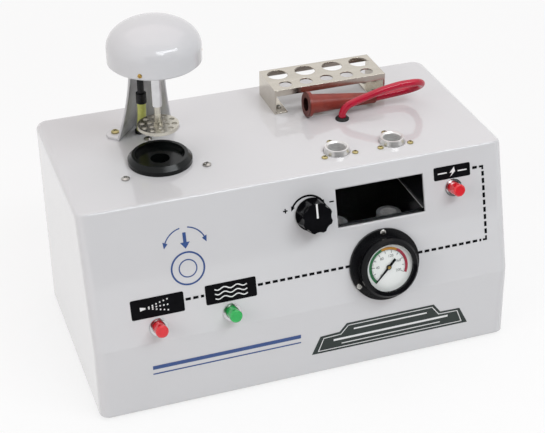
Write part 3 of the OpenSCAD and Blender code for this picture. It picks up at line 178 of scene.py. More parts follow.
def ramp(tree, source, low, high, stops=(0.3, 0.7)):
    n = node(tree, "ShaderNodeValToRGB", {"Fac": source})
    for element, place, colour in zip(n.color_ramp.elements, stops, (low, high)):
        element.position, element.color = place, colour
    return n.outputs["Color"]


def rgb(colour, k):
    return tuple(min(v * k, 1) for v in colour) + (1,)


def grey(v):
    return (v, v, v, 1)


def bump(tree, shader, source, strength, distance):
    n = node(tree, "ShaderNodeBump", {"Strength": strength, "Distance": distance, "Height": source})
    feed(tree, shader, {"Normal": n.outputs["Normal"]})
    return n


# A surface with mottled colour, uneven gloss and a fine bump
GRAIN_STRENGTH, COAT_ROUGH, EDGE_SAMPLES = 0.3, 0.04, 6


def surface(name, colour, spread=0.08, metal=0.0, rough=(0.3, 0.45), scale=60.0, fine=900.0,
            height=0.00001, stretch=(1, 1, 1), coat=0.0, specular=0.5, soft=0.0):
    mat, tree, shader = material(name)
    mottle = noise(tree, scale, stretch=stretch)
    grain = noise(tree, fine, detail=GRAIN_DETAIL, stretch=stretch)
    feed(tree, shader, {
        "Base Color": ramp(tree, mottle, rgb(colour, 1 - spread), rgb(colour, 1 + spread)),
        "Roughness": ramp(tree, grain, grey(rough[0]), grey(rough[1])),
        "Metallic": metal, "Specular IOR Level": specular,
        "Coat Weight": coat, "Coat Roughness": COAT_ROUGH,
    })
    relief = bump(tree, shader, grain, GRAIN_STRENGTH, height)
    if soft:
        edge = node(tree, "ShaderNodeBevel", {"Radius": soft}, samples=EDGE_SAMPLES)
        feed(tree, relief, {"Normal": edge.outputs["Normal"]})
    if coat:
        feed(tree, shader, {"Coat Normal": relief.outputs["Normal"]})
    return mat


# The front fold shades as a small round that dies out at the case's ends
FOLD_REACH, FOLD_SLACK, FOLD_ENDS = 0.0026, 0.00005, (0.182, 0.195)


def round_fold(mat):
    tree = mat.node_tree
    relief = tree.nodes["Bump"]
    plain = relief.inputs["Normal"].links[0].from_socket
    off = vector(tree, "SUBTRACT", place_in(tree), (0, EDGE_Y * MM, TOP_Z * MM))
    xyz = parts(tree, off)
    far = vector(tree, "LENGTH", vector(tree, "MULTIPLY", off, (0, 1, 1)))
    side = calc(tree, "MULTIPLY_ADD", calc(tree, "GREATER_THAN", xyz["Z"], -FOLD_SLACK), 2.0, -1.0)
    run = calc(tree, "MULTIPLY", far, side)
    turn = span(tree, run, (-FOLD_REACH, FOLD_REACH), (math.pi / 2 - TILT, 0.0))
    ahead = calc(tree, "MULTIPLY", calc(tree, "SINE", turn), -1.0)
    bent = node(tree, "ShaderNodeCombineXYZ", {"Y": ahead, "Z": calc(tree, "COSINE", turn)}).outputs[0]
    near = calc(tree, "LESS_THAN", far, FOLD_REACH)
    within = span(tree, calc(tree, "ABSOLUTE", xyz["X"]), FOLD_ENDS, (1.0, 0.0))
    share = calc(tree, "MULTIPLY", near, within)
    feed(tree, relief, {"Normal": mixed(tree, "VECTOR", share, plain, bent)})


# Painted and plastic finishes
PAINT = surface("case_enamel", (0.645, 0.640, 0.652), 0.008, rough=(0.3, 0.34), scale=9, fine=90,
                height=0.000002, coat=1.0, specular=0.25, soft=0.003)
round_fold(PAINT)
DOME = surface("dome_enamel", (0.60, 0.597, 0.612), 0.008, rough=(0.32, 0.36), scale=12, fine=90,
               height=0.000002, coat=0.8, specular=0.12)
RED = surface("red_cap", (0.70, 0.014, 0.024), 0.08, rough=(0.12, 0.2), scale=160, coat=0.4)
GREEN = surface("green_cap", (0.015, 0.42, 0.085), 0.1, rough=(0.14, 0.22), scale=160, coat=0.3)
BLACK = surface("gloss_black", (0.004, 0.004, 0.005), 0.3, rough=(0.08, 0.13), scale=80, specular=0.16)
KNOB = surface("knob_black", (0.004, 0.004, 0.005), 0.3, rough=(0.1, 0.16), scale=80, specular=0.08)
SATIN = surface("satin_black", (0.007, 0.007, 0.008), 0.3, rough=(0.24, 0.34), scale=80, specular=0.2)
BOARD = surface("board_laminate", (0.03, 0.14, 0.05), 0.2, rough=(0.4, 0.55), scale=120)
DIAL = surface("dial_enamel", (0.90, 0.90, 0.88), 0.01, rough=(0.4, 0.5), scale=80, specular=0.3)

# Rubber, leads and hose
RING = surface("seat_rubber", (0.003, 0.004, 0.004), 0.35, rough=(0.15, 0.23), scale=90, fine=1400,
               height=0.000005, specular=0.24)
RUBBER = surface("foot_rubber", (0.02, 0.02, 0.02), 0.3, rough=(0.55, 0.75), scale=120, fine=1800,
                 specular=0.25)
LEAD = surface("lead_jacket", (0.45, 0.006, 0.032), 0.12, rough=(0.18, 0.28), scale=120, fine=1500,
               height=0.000004, coat=0.2, specular=0.3)
HOSE = surface("hose_jacket", (0.46, 0.48, 0.12), 0.18, rough=(0.35, 0.55), scale=260, fine=1600,
               height=0.00003)

# Metals and the lining of the viewing hood
NICKEL = surface("satin_nickel", (0.58, 0.54, 0.475), 0.05, metal=1.0, rough=(0.18, 0.28), scale=22,
                 fine=260, height=0.000004, stretch=(0.5, 5, 5), soft=0.0006)
DISC = surface("polished_nickel", (0.55, 0.525, 0.46), 0.1, metal=1.0, rough=(0.22, 0.34), scale=60,
               height=0.000004, stretch=(1, 1, 8))
STEEL = surface("zinc_steel", (0.46, 0.46, 0.45), 0.12, metal=1.0, rough=(0.3, 0.46), scale=70, fine=700,
                height=0.000006)
CHROME = surface("bright_chrome", (0.62, 0.62, 0.63), 0.06, metal=1.0, rough=(0.07, 0.14), scale=90,
                 height=0.000003)
SCREW = surface("screw_steel", (0.40, 0.39, 0.37), 0.15, metal=1.0, rough=(0.14, 0.26), scale=260,
                height=0.000004)
ZINC = surface("yellow_zinc", (0.36, 0.31, 0.15), 0.25, metal=1.0, rough=(0.18, 0.32), scale=260,
               fine=1500, height=0.000004)
BRASS = surface("plain_brass", (0.52, 0.34, 0.10), 0.15, metal=1.0, rough=(0.2, 0.34), scale=200,
                fine=1500, height=0.000004)
ALLOY = surface("cast_alloy", (0.56, 0.56, 0.57), 0.1, metal=1.0, rough=(0.3, 0.45), scale=90)
HOOD = surface("hood_black", (0.005, 0.005, 0.006), 0.4, rough=(0.16, 0.26), scale=50, fine=300,
               height=0.000003, specular=0.4, soft=0.0008)
MIRROR = surface("hood_mirror", (0.88, 0.89, 0.90), 0.03, metal=1.0, rough=(0.02, 0.06), scale=30,
                 fine=200, height=0.000001)

# Inks of the print
INK_BLACK = surface("ink_black", (0.004, 0.004, 0.005), 0.25, rough=(0.3, 0.42), scale=120, specular=0.06)
# The white ink also paints the highlight strips on the mirror's edges
WHITE_INK_AND_HIGHLIGHT = surface("white_ink_and_highlight", (0.78, 0.78, 0.78), 0.03, rough=(0.4, 0.5), scale=120)
INK_BLUE = surface("ink_blue", (0.03, 0.075, 0.24), 0.1, rough=(0.32, 0.45), scale=120)
INK_GREEN = surface("ink_green", (0.018, 0.16, 0.05), 0.1, rough=(0.35, 0.5), scale=120)
INK_AMBER = surface("ink_amber", (0.62, 0.28, 0.03), 0.1, rough=(0.35, 0.5), scale=120)
INK_RED = surface("ink_red", (0.42, 0.022, 0.05), 0.1, rough=(0.35, 0.5), scale=120)
INK_BANNER = surface("ink_banner", (0.030, 0.040, 0.037), 0.15, rough=(0.3, 0.42), scale=60,
                     specular=0.25)

# Clear panes: a faint reflection on the outer face only
PANE_TINT, PANE_IOR, PANE_ROUGH, PANE_SHINE = (0.985, 0.99, 0.99, 1), 1.45, 0.03, 0.22
PANE_SMEAR, PANE_LOW, PANE_HIGH = 35.0, grey(0.86), grey(0.98)


def glass():
    mat, tree, shader = material("clear_pane")
    tree.nodes.remove(shader)
    clear = node(tree, "ShaderNodeBsdfTransparent", {"Color": PANE_TINT})
    smear = ramp(tree, noise(tree, PANE_SMEAR), PANE_LOW, PANE_HIGH)
    shine = node(tree, "ShaderNodeBsdfGlossy", {"Color": smear, "Roughness": PANE_ROUGH})
    fresnel = node(tree, "ShaderNodeFresnel", {"IOR": PANE_IOR}).outputs[0]
    outer = calc(tree, "SUBTRACT", 1.0, node(tree, "ShaderNodeNewGeometry").outputs["Backfacing"])
    share = calc(tree, "MULTIPLY", calc(tree, "MULTIPLY", fresnel, PANE_SHINE), outer)
    output(tree, clear, shine, share)
    return mat


GLASS = glass()

# Boot rubber with painted shade: darker inside its mouth and on its end face
BOOT_MOUTH = Vector((46.0, 31.1, 208.6)) * MM
BOOT_ALONG = (Vector((116.5, 31.5, 203.5)) * MM - BOOT_MOUTH).normalized()
BOOT_BORE, BOOT_DEPTH = 0.0066, 0.034
BOOT_END, BOOT_END_PAINTED_SHADE = (0.0003, 0.0016), 0.6
BOOT_LOW, BOOT_HIGH = (0.20, 0.031, 0.022, 1), (0.275, 0.045, 0.031, 1)
BOOT_PAINTED_SHADE = (0.020, 0.006, 0.005, 1)
BOOT_MOTTLE, BOOT_GRAIN, BOOT_HEIGHT = 110.0, 1300.0, 0.00002
BOOT_SMOOTH, BOOT_ROUGH, BOOT_SPECULAR = grey(0.28), grey(0.42), 0.3


def boot_rubber():
    mat, tree, shader = material("boot_rubber")
    away = vector(tree, "SUBTRACT", place_in(tree), BOOT_MOUTH)
    depth = vector(tree, "DOT_PRODUCT", away, BOOT_ALONG)
    far = vector(tree, "LENGTH", vector(tree, "CROSS_PRODUCT", away, BOOT_ALONG))
    near, front = calc(tree, "LESS_THAN", far, BOOT_BORE), calc(tree, "LESS_THAN", depth, BOOT_DEPTH)
    end = span(tree, depth, BOOT_END, (BOOT_END_PAINTED_SHADE, 0.0))
    # Painted shade: the bore's wall near the mouth and the end face are darkened
    painted_shade = calc(tree, "MAXIMUM", calc(tree, "MULTIPLY", near, front), end)
    tint = ramp(tree, noise(tree, BOOT_MOTTLE), BOOT_LOW, BOOT_HIGH)
    grain = noise(tree, BOOT_GRAIN, detail=GRAIN_DETAIL)
    feed(tree, shader, {
        "Base Color": mixed(tree, "RGBA", painted_shade, tint, BOOT_PAINTED_SHADE),
        "Roughness": ramp(tree, grain, BOOT_SMOOTH, BOOT_ROUGH),
        "Specular IOR Level": BOOT_SPECULAR,
    })
    bump(tree, shader, grain, GRAIN_STRENGTH, BOOT_HEIGHT)
    return mat


BOOT = boot_rubber()

# Turned sockets: metal above the case, a pale painted light under it so that the hidden ends show lit in
# the mirror, and thread rings inside their bores
SOCKET_X, SOCKET_HALF, SOCKET_Y = 0.07585, 0.02725, -0.0426
SOCKET_BORE, SOCKET_PITCH, SOCKET_SHOWN_Z = 0.0084, 0.0015, 0.1945
SOCKET_LOW, SOCKET_HIGH, SOCKET_PAINTED_LIGHT = (0.62, 0.61, 0.60, 1), (0.76, 0.75, 0.74, 1), grey(0.90)
SOCKET_HIDDEN_METAL, SOCKET_BORE_METAL = 0.35, 0.3
SOCKET_MOTTLE, SOCKET_GRAIN, TURNED = 70.0, 800.0, (1, 1, 10)
SOCKET_SMOOTH, SOCKET_ROUGH = grey(0.3), grey(0.42)
THREAD_SHADE, THREAD_STOPS, THREAD_STRENGTH, THREAD_HEIGHT = 0.7, (0.0, 0.9), 0.2, 0.0001


def socket_metal():
    mat, tree, shader = material("turned_socket")
    xyz = parts(tree, place_in(tree))
    aside = calc(tree, "ABSOLUTE", calc(tree, "SUBTRACT", xyz["X"], SOCKET_X))
    dx, dy = calc(tree, "SUBTRACT", aside, SOCKET_HALF), calc(tree, "SUBTRACT", xyz["Y"], SOCKET_Y)
    radius = vector(tree, "LENGTH", node(tree, "ShaderNodeCombineXYZ", {"X": dx, "Y": dy}).outputs[0])
    inside = calc(tree, "LESS_THAN", radius, SOCKET_BORE)
    above = calc(tree, "GREATER_THAN", xyz["Z"], SOCKET_SHOWN_Z)
    rings = calc(tree, "SINE", calc(tree, "MULTIPLY", xyz["Z"], 2 * math.pi / SOCKET_PITCH))
    cut = calc(tree, "MULTIPLY", rings, inside)
    tint = ramp(tree, noise(tree, SOCKET_MOTTLE, stretch=TURNED), SOCKET_LOW, SOCKET_HIGH)
    grain = noise(tree, SOCKET_GRAIN, stretch=TURNED)
    shade = ramp(tree, cut, grey(1.0), grey(THREAD_SHADE), stops=THREAD_STOPS)
    threaded = mixed(tree, "RGBA", 1.0, tint, shade, blend_type="MULTIPLY")
    kept = calc(tree, "MAXIMUM", above, inside)
    plated = calc(tree, "MULTIPLY_ADD", above, 1 - SOCKET_HIDDEN_METAL, SOCKET_HIDDEN_METAL)
    bare = calc(tree, "MULTIPLY_ADD", inside, SOCKET_BORE_METAL - 1, 1.0)
    feed(tree, shader, {
        # Painted light: below the case top the outside takes a pale colour instead of the metal's tint
        "Base Color": mixed(tree, "RGBA", kept, SOCKET_PAINTED_LIGHT, threaded),
        "Roughness": ramp(tree, grain, SOCKET_SMOOTH, SOCKET_ROUGH),
        "Metallic": calc(tree, "MULTIPLY", plated, bare),
    })
    bump(tree, shader, cut, THREAD_STRENGTH, THREAD_HEIGHT)
    return mat


SOCKET = socket_metal()

# Finish of each carried-over node
FINISHES = (
    (PAINT, "case_shell rear_panel head_bracket"),
    (DOME, "head_dome"),
    (STEEL, "base_plate cover_screws button_nuts regulator_nut regulator_spindle blast_spring air_spring"
            " tester_spring plunger_spring blast_nozzle"),
    (NICKEL, "adapter_rack"),
    (DISC, "presser_disc plunger_rod"),
    (CHROME, "button_bezels cylinder_sleeve"),
    (SCREW, "gauge_screws ring_screws rack_screws"),
    (ZINC, "socket_screws bracket_screws"),
    (ALLOY, "blast_valve air_valve regulator_body blast_chamber cylinder_head"),
    (SOCKET, "test_sockets"),
    (BRASS, "air_inlet gauge_movement boot_terminal dome_screws"),
    (RUBBER, "rubber_feet lead_grommet"),
    (RING, "blast_ring"),
    (SATIN, "mains_gland tester_switch gauge_case ignition_coil hose_fitting hose_bulkhead"),
    (KNOB, "pressure_knob"),
    (BLACK, "gauge_rim"),
    (INK_BLACK, "gauge_needle"),
    (RED, "blast_button tester_button"),
    (GREEN, "air_button"),
    (LEAD, "coil_lead ht_lead"),
    (BOOT, "lead_boot"),
    (HOSE, "air_hose"),
    (GLASS, "gauge_lens window_pane"),
    (MIRROR, "hood_mirror"),
    (HOOD, "viewing_hood socket_nuts"),
    (DIAL, "gauge_dial"),
    (BOARD, "driver_board"),
)
LOOK = {name: mat for mat, names in FINISHES for name in names.split()}
for name, obj in nodes.items():
    obj.data.materials.clear()
    obj.data.materials.append(LOOK[name])

# Softened edges, in mm, on the pieces whose edges catch the light
EASED = {
    "adapter_rack": 0.5, "blast_ring": 0.7, "pressure_knob": 0.6, "gauge_case": 0.5, "gauge_rim": 0.4,
    "test_sockets": 0.35, "presser_disc": 0.4, "lead_boot": 0.9, "blast_button": 0.5, "air_button": 0.5,
    "tester_button": 0.5, "button_bezels": 0.3, "rear_panel": 0.4, "air_inlet": 0.5,
    "mains_gland": 0.4, "hose_fitting": 0.5, "hose_bulkhead": 0.5, "lead_grommet": 0.4, "head_dome": 0.5,
    "cylinder_sleeve": 0.3, "rubber_feet": 0.6, "case_shell": 0.7,
}
EASED_STEPS, EASED_ANGLE = 3, math.radians(40)
for name, width in EASED.items():
    b = nodes[name].modifiers.new("eased", "BEVEL")
    b.width = width * MM
    b.segments = EASED_STEPS
    b.limit_method = "ANGLE"
    b.angle_limit = EASED_ANGLE
    b.harden_normals = True


# Making of new pieces
def smoothed(mesh):
    for p in mesh.polygons:
        p.use_smooth = True


def piece(name, verts, faces, mat, body, smooth=False):
    mesh = bpy.data.meshes.new(name)
    mesh.from_pydata([tuple(v) for v in verts], [], faces)
    mesh.update()
    mesh.materials.append(mat)
    if smooth:
        smoothed(mesh)
    ob = put(name, mesh)
    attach(ob, body)
    return ob


def smooth_path(points, per=6):
    out = []
    last = len(points) - 1
    for i in range(last):
        p0, p1, p2, p3 = (points[min(max(k, 0), last)] for k in range(i - 1, i + 3))
        for k in range(per):
            t = k / per
            out.append(0.5 * (2 * p1 + (p2 - p0) * t + (2 * p0 - 5 * p1 + 4 * p2 - p3) * t * t
                              + (3 * p1 - p0 - 3 * p2 + p3) * t ** 3))
    out.append(points[-1])
    return out


def tube(name, path, radius, mat, sides, across, bulge=None):
    verts, faces = [], []
    last = len(path) - 1
    for i, c in enumerate(path):
        t = (path[min(i + 1, last)] - path[max(i - 1, 0)]).normalized()
        across = (across - t * across.dot(t)).normalized()
        other = t.cross(across)
        r = bulge(i) * radius if bulge else radius
        for k in range(sides):
            a = 2 * math.pi * k / sides
            verts.append(c + across * (r * math.cos(a)) + other * (r * math.sin(a)))
    for i in range(last):
        for k in range(sides):
            a, b = i * sides + k, i * sides + (k + 1) % sides
            faces.append((a, b, b + sides, a + sides))
    faces.append(tuple(range(sides - 1, -1, -1)))
    faces.append(tuple(last * sides + k for k in range(sides)))
    return piece(name, verts, faces, mat, "case", smooth=True)


# High-tension lead, on the route of its solid from the grommet to the boot
LEAD_EXIT, LEAD_R, LEAD_SIDES = (76.4, 89.0, 2.5), 3.5, 20
LEAD_BENDS = [
    (0, 0, 0), (0.4, 0, 3.8), (2, -0.3, 7.7), (4.9, -1, 11.1), (9.7, -2, 14), (17, -3.4, 17.1),
    (26, -4.8, 20.4), (36, -5.8, 23.7), (46.5, -6.4, 26), (57, -6.6, 27.3), (66.8, -6.5, 27.2),
    (72.8, -5.6, 26.4), (77.9, -3, 24.2), (81.3, 0.9, 20.9), (82.5, 5.5, 17), (81.3, 10.1, 13.1),
    (77.9, 14, 9.8), (72.8, 16.6, 7.6), (66.8, 17.5, 6.6), (54, 17.5, 5.7), (40.1, 17.5, 5),
]
lead_path = smooth_path([on_top(*(a + b for a, b in zip(LEAD_EXIT, bend))) for bend in LEAD_BENDS])
lead = tube("lead_jacket", lead_path, LEAD_R * MM, LEAD, LEAD_SIDES, across=Vector((0, 1, 0)))
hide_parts("ht_lead")

# Air hose in the post's channel: upright out of its fitting, one bend, then a straight lean to its bulkhead
HOSE_TOP = Vector((-114.1, 101.0, 45.0))
HOSE_R, HOSE_BEND, HOSE_NECK = 4.0, 32.0, 9.0
HOSE_LEAN, HOSE_SWING = math.radians(40), math.radians(8)
HOSE_STEPS, HOSE_SIDES, HOSE_RIB = 60, 24, 0.015


def hose_route():
    bend = HOSE_BEND * HOSE_LEAN
    low = HOSE_TOP.z - HOSE_BEND * math.sin(HOSE_LEAN)
    total = bend + low / math.cos(HOSE_LEAN) - HOSE_NECK
    out = []
    for i in range(HOSE_STEPS + 1):
        d = total * i / HOSE_STEPS
        a, rest = min(d / HOSE_BEND, HOSE_LEAN), max(d - bend, 0)
        aside = HOSE_BEND * (1 - math.cos(a)) + rest * math.sin(HOSE_LEAN)
        up = HOSE_TOP.z - HOSE_BEND * math.sin(a) - rest * math.cos(HOSE_LEAN)
        out.append(on_top(HOSE_TOP.x + aside * math.sin(HOSE_SWING),
                          HOSE_TOP.y + aside * math.cos(HOSE_SWING), up))
    return out


def hose_ribs(i):
    return 1 - HOSE_RIB + HOSE_RIB * math.cos(i * math.pi / 2)


hose = tube("hose_jacket", hose_route(), HOSE_R * MM, HOSE, HOSE_SIDES, across=Vector((1, 0, 0)),
            bulge=hose_ribs)
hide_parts("air_hose")


# Print: thin flat shapes in the plane of the panel, the wall or the mirror, faced outwards
def bars(name, shapes, mat, place, off, body="case"):
    want = -1 if place is on_panel else 1
    verts, faces = [], []
    for points in shapes:
        way = sum(p[0] * q[1] - q[0] * p[1] for p, q in zip(points, points[1:] + points[:1]))
        run = points if way * want > 0 else points[::-1]
        faces.append(tuple(range(len(verts), len(verts) + len(run))))
        verts += [place(a, b, off) for a, b in run]
    piece(name, verts, faces, mat, body)


def rect(x0, x1, s0, s1):
    return [(x0, s0), (x1, s0), (x1, s1), (x0, s1)]


def rounded(x0, x1, s0, s1, r, steps=5):
    corners = [(x1 - r, s1 - r, 0), (x0 + r, s1 - r, 90), (x0 + r, s0 + r, 180), (x1 - r, s0 + r, 270)]
    turns = [(cx, cs, math.radians(a + 90 * k / steps)) for cx, cs, a in corners for k in range(steps + 1)]
    return [(cx + r * math.cos(t), cs + r * math.sin(t)) for cx, cs, t in turns]


def strip(a, b, w, longer=0.0):
    d = math.hypot(b[0] - a[0], b[1] - a[1])
    ux, us = (b[0] - a[0]) / d, (b[1] - a[1]) / d
    h = w / 2
    p = (a[0] - ux * longer, a[1] - us * longer)
    q = (b[0] + ux * longer, b[1] + us * longer)
    return [(p[0] - us * h, p[1] + ux * h), (q[0] - us * h, q[1] + ux * h),
            (q[0] + us * h, q[1] - ux * h), (p[0] + us * h, p[1] - ux * h)]


def outline(points, w):
    return [strip(a, b, w, longer=w / 2) for a, b in zip(points, points[1:] + points[:1])]


def dashes(x0, s0, x1, s1, w=2.5, dash=4.8, gap=2.2, least=0.5):
    d = math.hypot(x1 - x0, s1 - s0)
    ux, us = (x1 - x0) / d, (s1 - s0) / d
    out = []
    t = 0.0
    while t < d - least:
        e = min(t + dash, d)
        out.append(strip((x0 + ux * t, s0 + us * t), (x0 + ux * e, s0 + us * e), w))
        t += dash + gap
    return out


def polar(cx, cs, r, degrees):
    a = math.radians(degrees)
    return cx + r * math.cos(a), cs - r * math.sin(a)


def arc_strip(cx, cs, r0, r1, a0, a1, steps=24):
    out = []
    for i in range(steps):
        a, b = (a0 + (a1 - a0) * k / steps for k in (i, i + 1))
        out.append([polar(cx, cs, r, t) for r, t in ((r0, a), (r1, a), (r1, b), (r0, b))])
    return out


def arrow(cx, cs, r, angle, way, size, spread=0.45):
    half = size * spread
    tip = angle + way * math.degrees(size / r)
    return [polar(cx, cs, r - half, angle), polar(cx, cs, r + half, angle), polar(cx, cs, r, tip)]


def dots(cx, cs, layout, r, sides=12):
    return [[polar(cx + x, cs + y, r, 360 * k / sides) for k in range(sides)] for x, y in layout]


def wave(cx, cs, length, high, turns, w, steps=36):
    line = [(cx - length / 2 + length * i / steps, cs + high * math.sin(2 * math.pi * turns * i / steps))
            for i in range(steps + 1)]
    return [strip(a, b, w) for a, b in zip(line, line[1:])]


# Label plates and the dashed flow line, whose two corners are solid
OFF, OVER = 0.12, 0.24
PLATES = {
    "plate_blast": (-164.2, -116, 83.8, 102.2),
    "plate_air": (-96.3, -49, 83.3, 101.7),
    "plate_tester": (129, 165.5, 15, 27.5),
}
PLATE_ROUND = 1.5
for name, sides in PLATES.items():
    bars(name, [rounded(*sides, PLATE_ROUND)], INK_BLACK, on_panel, OFF)

FLOW_S, FLOW_X, FLOW_END_S, CORNER = 92.0, 178.0, 21.2, 0.95
FLOW_RUNS = ((-114.5, -97.5), (-47.5, 40.5), (108, 173))
FLOW_UP, FLOW_BACK = (86.4, 26), (172.6, 167)
CORNER_X, CORNER_LOW_S, CORNER_HIGH_S = 174.6, 88.4, 24.2
low_s, high_s, left_x, right_x = FLOW_S - CORNER, FLOW_END_S - CORNER, FLOW_X - CORNER, FLOW_X + CORNER
flow = [dash for x0, x1 in FLOW_RUNS for dash in dashes(x0, FLOW_S, x1, FLOW_S)]
flow += [rect(CORNER_X, right_x, low_s, FLOW_S + CORNER), rect(left_x, right_x, CORNER_LOW_S, low_s)]
flow += dashes(FLOW_X, FLOW_UP[0], FLOW_X, FLOW_UP[1])
flow += [rect(left_x, right_x, high_s, CORNER_HIGH_S), rect(CORNER_X, left_x, high_s, FLOW_END_S + CORNER)]
flow += dashes(FLOW_BACK[0], FLOW_END_S, FLOW_BACK[1], FLOW_END_S)
bars("flow_line", flow, INK_BLACK, on_panel, OFF)

# Plain marks on the plates: spray dots, air waves and a spark
SPRAY_STEP, SPRAY_START, SPRAY_GROWS = 3.4, 0.75, 0.875
WAVE_X, WAVE_ROWS = -72.6, (88.3, 92.6, 96.9)
NOZZLE = [(-156, 91.2), (-151, 92.3), (-151, 93.7), (-156, 94.8)]
SPARK = [[(149.4, 16.8), (144.6, 21.9), (147.4, 21.9), (150.4, 21.1)],
         [(144.9, 25.9), (147.4, 21.9), (150.4, 21.1)]]
SPARK_WIRES = [rect(133, 142, 20.7, 21.9), rect(153, 162, 20.7, 21.9)]
spray = [(x * SPRAY_STEP, y * (SPRAY_START + SPRAY_GROWS * x)) for x in range(6) for y in (-1, 0, 1)]
waves = [part for s in WAVE_ROWS for part in wave(WAVE_X, s, length=30, high=1.1, turns=2.5, w=1.1)]
bars("mark_blast", dots(-148, 93, spray, r=0.75) + [NOZZLE], WHITE_INK_AND_HIGHLIGHT, on_panel, OVER)
bars("mark_air", waves, WHITE_INK_AND_HIGHLIGHT, on_panel, OVER)
bars("mark_tester", SPARK + SPARK_WIRES, WHITE_INK_AND_HIGHLIGHT, on_panel, OVER)

# Turn marks beside the knob: an arc with two arrow heads, a plus and a minus
TURN_X, TURN_S, TURN_R, TURN_HALF = 6.2, 35.5, 16.8, 0.9
TURN_FROM, TURN_TO, TURN_HEAD = 36, 148, 4.4
PLUS = [rect(-17.5, -13.3, 28.5, 29.7), rect(-16, -14.8, 27, 31.2)]
MINUS = [rect(26.5, 30.7, 27.6, 28.8)]
bars("turn_marks",
     arc_strip(TURN_X, TURN_S, TURN_R - TURN_HALF, TURN_R + TURN_HALF, TURN_FROM, TURN_TO)
     + [arrow(TURN_X, TURN_S, TURN_R, TURN_TO, 1, TURN_HEAD),
        arrow(TURN_X, TURN_S, TURN_R, TURN_FROM, -1, TURN_HEAD)]
     + PLUS + MINUS, INK_BLACK, on_panel, OFF)

# Plain blue mark above the cleaner's plates: a seat ring with a down arrow and two turn arcs
SEAT_X, SEAT_S, SWING_S, SWING_HEAD = -109, 64, 46, 5.5
SEAT_RINGS = ((14.0, 15.6, 60), (7.4, 8.5, 40))
SWING_IN, SWING_OUT, SWING_R = 19.0, 20.1, 19.55
SWINGS = ((80, 25, -1), (100, 155, 1))
DOWN = [rect(-110.5, -107.5, 31, 40), [(-113.4, 40), (-104.6, 40), (SEAT_X, SWING_S)]]
seat_mark = []
for r0, r1, steps in SEAT_RINGS:
    seat_mark += arc_strip(SEAT_X, SEAT_S, r0, r1, 0, 360, steps)
for start, end, way in SWINGS:
    seat_mark += arc_strip(SEAT_X, SWING_S, SWING_IN, SWING_OUT, start, end)
    seat_mark.append(arrow(SEAT_X, SWING_S, SWING_R, end, way, SWING_HEAD))
bars("mark_cleaner", seat_mark + DOWN, INK_BLUE, on_panel, OFF)

# Banner and stripes on the lower wall, with no lettering
BANNER = [(0.5, 24.5), (159, 24), (150, 42), (130, 42.5), (123, 52), (35, 52), (28, 44), (9, 43)]
BANNER_INNER = [(7, 27), (152.5, 26.7), (147.6, 39.6), (128.4, 40.1), (121.4, 49.4), (36.6, 49.4),
                (29.4, 41.2), (12.4, 40.4)]
BANNER_EDGE = 0.8
BANNER_LINES = [rect(42, 116, 43.6, 45.2), rect(22, 138, 35.0, 37.2), rect(30, 130, 30.4, 31.4)]
STRIPES = [rect(-150, -10, 46.0, 50.0), rect(-150, -10, 40.6, 42.0)]
bars("banner", [BANNER], INK_BANNER, on_wall, OFF)
bars("banner_line", outline(BANNER_INNER, BANNER_EDGE) + BANNER_LINES, WHITE_INK_AND_HIGHLIGHT, on_wall, OVER)
bars("blue_stripes", STRIPES, INK_BLUE, on_wall, OFF)

# Painted highlight: white strips along the side and back edges of the mirror on the hood's floor
MIRROR_EDGE, MIRROR_LIFT = 1.1, 0.05


def mirror_edges():
    low, high = (Vector(v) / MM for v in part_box("hood_mirror"))
    x0, x1, y1 = low.x + MIRROR_EDGE, high.x - MIRROR_EDGE, high.y - MIRROR_EDGE

    def on_mirror(x, y, off):
        return Vector((x, y, high.z + off)) * MM

    # White strips on the mirror's side and back edges, a painted highlight
    edges = [rect(low.x, x0, low.y, high.y), rect(x1, high.x, low.y, high.y), rect(x0, x1, y1, high.y)]
    bars("mirror_edges", edges, WHITE_INK_AND_HIGHLIGHT, on_mirror, MIRROR_LIFT)


mirror_edges()

# Gauge print: three bands, ticks and plain numbers
DIAL_X, DIAL_S, DIAL_FACE = 74.0, 96.0, 10.86
ZERO, SWEEP = 224.0, 250.0
BANDS = (("band_green", 0, 116, INK_GREEN), ("band_amber", 116, 165, INK_AMBER),
         ("band_red", 165, SWEEP, INK_RED))
BAND_IN, BAND_OUT, BAND_STEPS = 16.6, 19.0, 40
LONG_TICKS, SHORT_TICKS = (10, 13.4, 16.4, 0.5), (50, 14.9, 16.4, 0.22)
SCALE_IN, SCALE_STEPS = 16.3, 60
NUMBER_R, NUMBER_SIZE, NUMBER_LAST, NUMBER_STEP = 10.6, 3.6, 200, 40
for name, a0, a1, ink in BANDS:
    band = arc_strip(DIAL_X, DIAL_S, BAND_IN, BAND_OUT, ZERO - a0, ZERO - a1, BAND_STEPS)
    bars(name, band, ink, on_panel, DIAL_FACE)


def on_dial(share, r):
    return polar(DIAL_X, DIAL_S, r, ZERO - SWEEP * share)


def ticks(count, r0, r1, w):
    return [strip(on_dial(i / count, r0), on_dial(i / count, r1), w) for i in range(count + 1)]


scale_line = arc_strip(DIAL_X, DIAL_S, SCALE_IN, BAND_IN, ZERO, ZERO - SWEEP, SCALE_STEPS)
bars("dial_ticks", ticks(*LONG_TICKS) + ticks(*SHORT_TICKS) + scale_line, INK_BLACK, on_panel, DIAL_FACE)


def number(text, x, s):
    name = "dial_number_" + text
    curve = bpy.data.curves.new(name, "FONT")
    curve.body = text
    curve.size = NUMBER_SIZE * MM
    curve.align_x = "CENTER"
    curve.align_y = "CENTER"
    drawn = put(name, curve)
    bpy.context.view_layer.update()
    mesh = bpy.data.meshes.new_from_object(drawn.evaluated_get(bpy.context.evaluated_depsgraph_get()))
    bpy.data.objects.remove(drawn)
    mesh.transform(Matrix.Translation(on_panel(x, s, DIAL_FACE)) @ PANEL_TURN)
    mesh.materials.clear()
    mesh.materials.append(INK_BLACK)
    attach(put(name, mesh), "case")


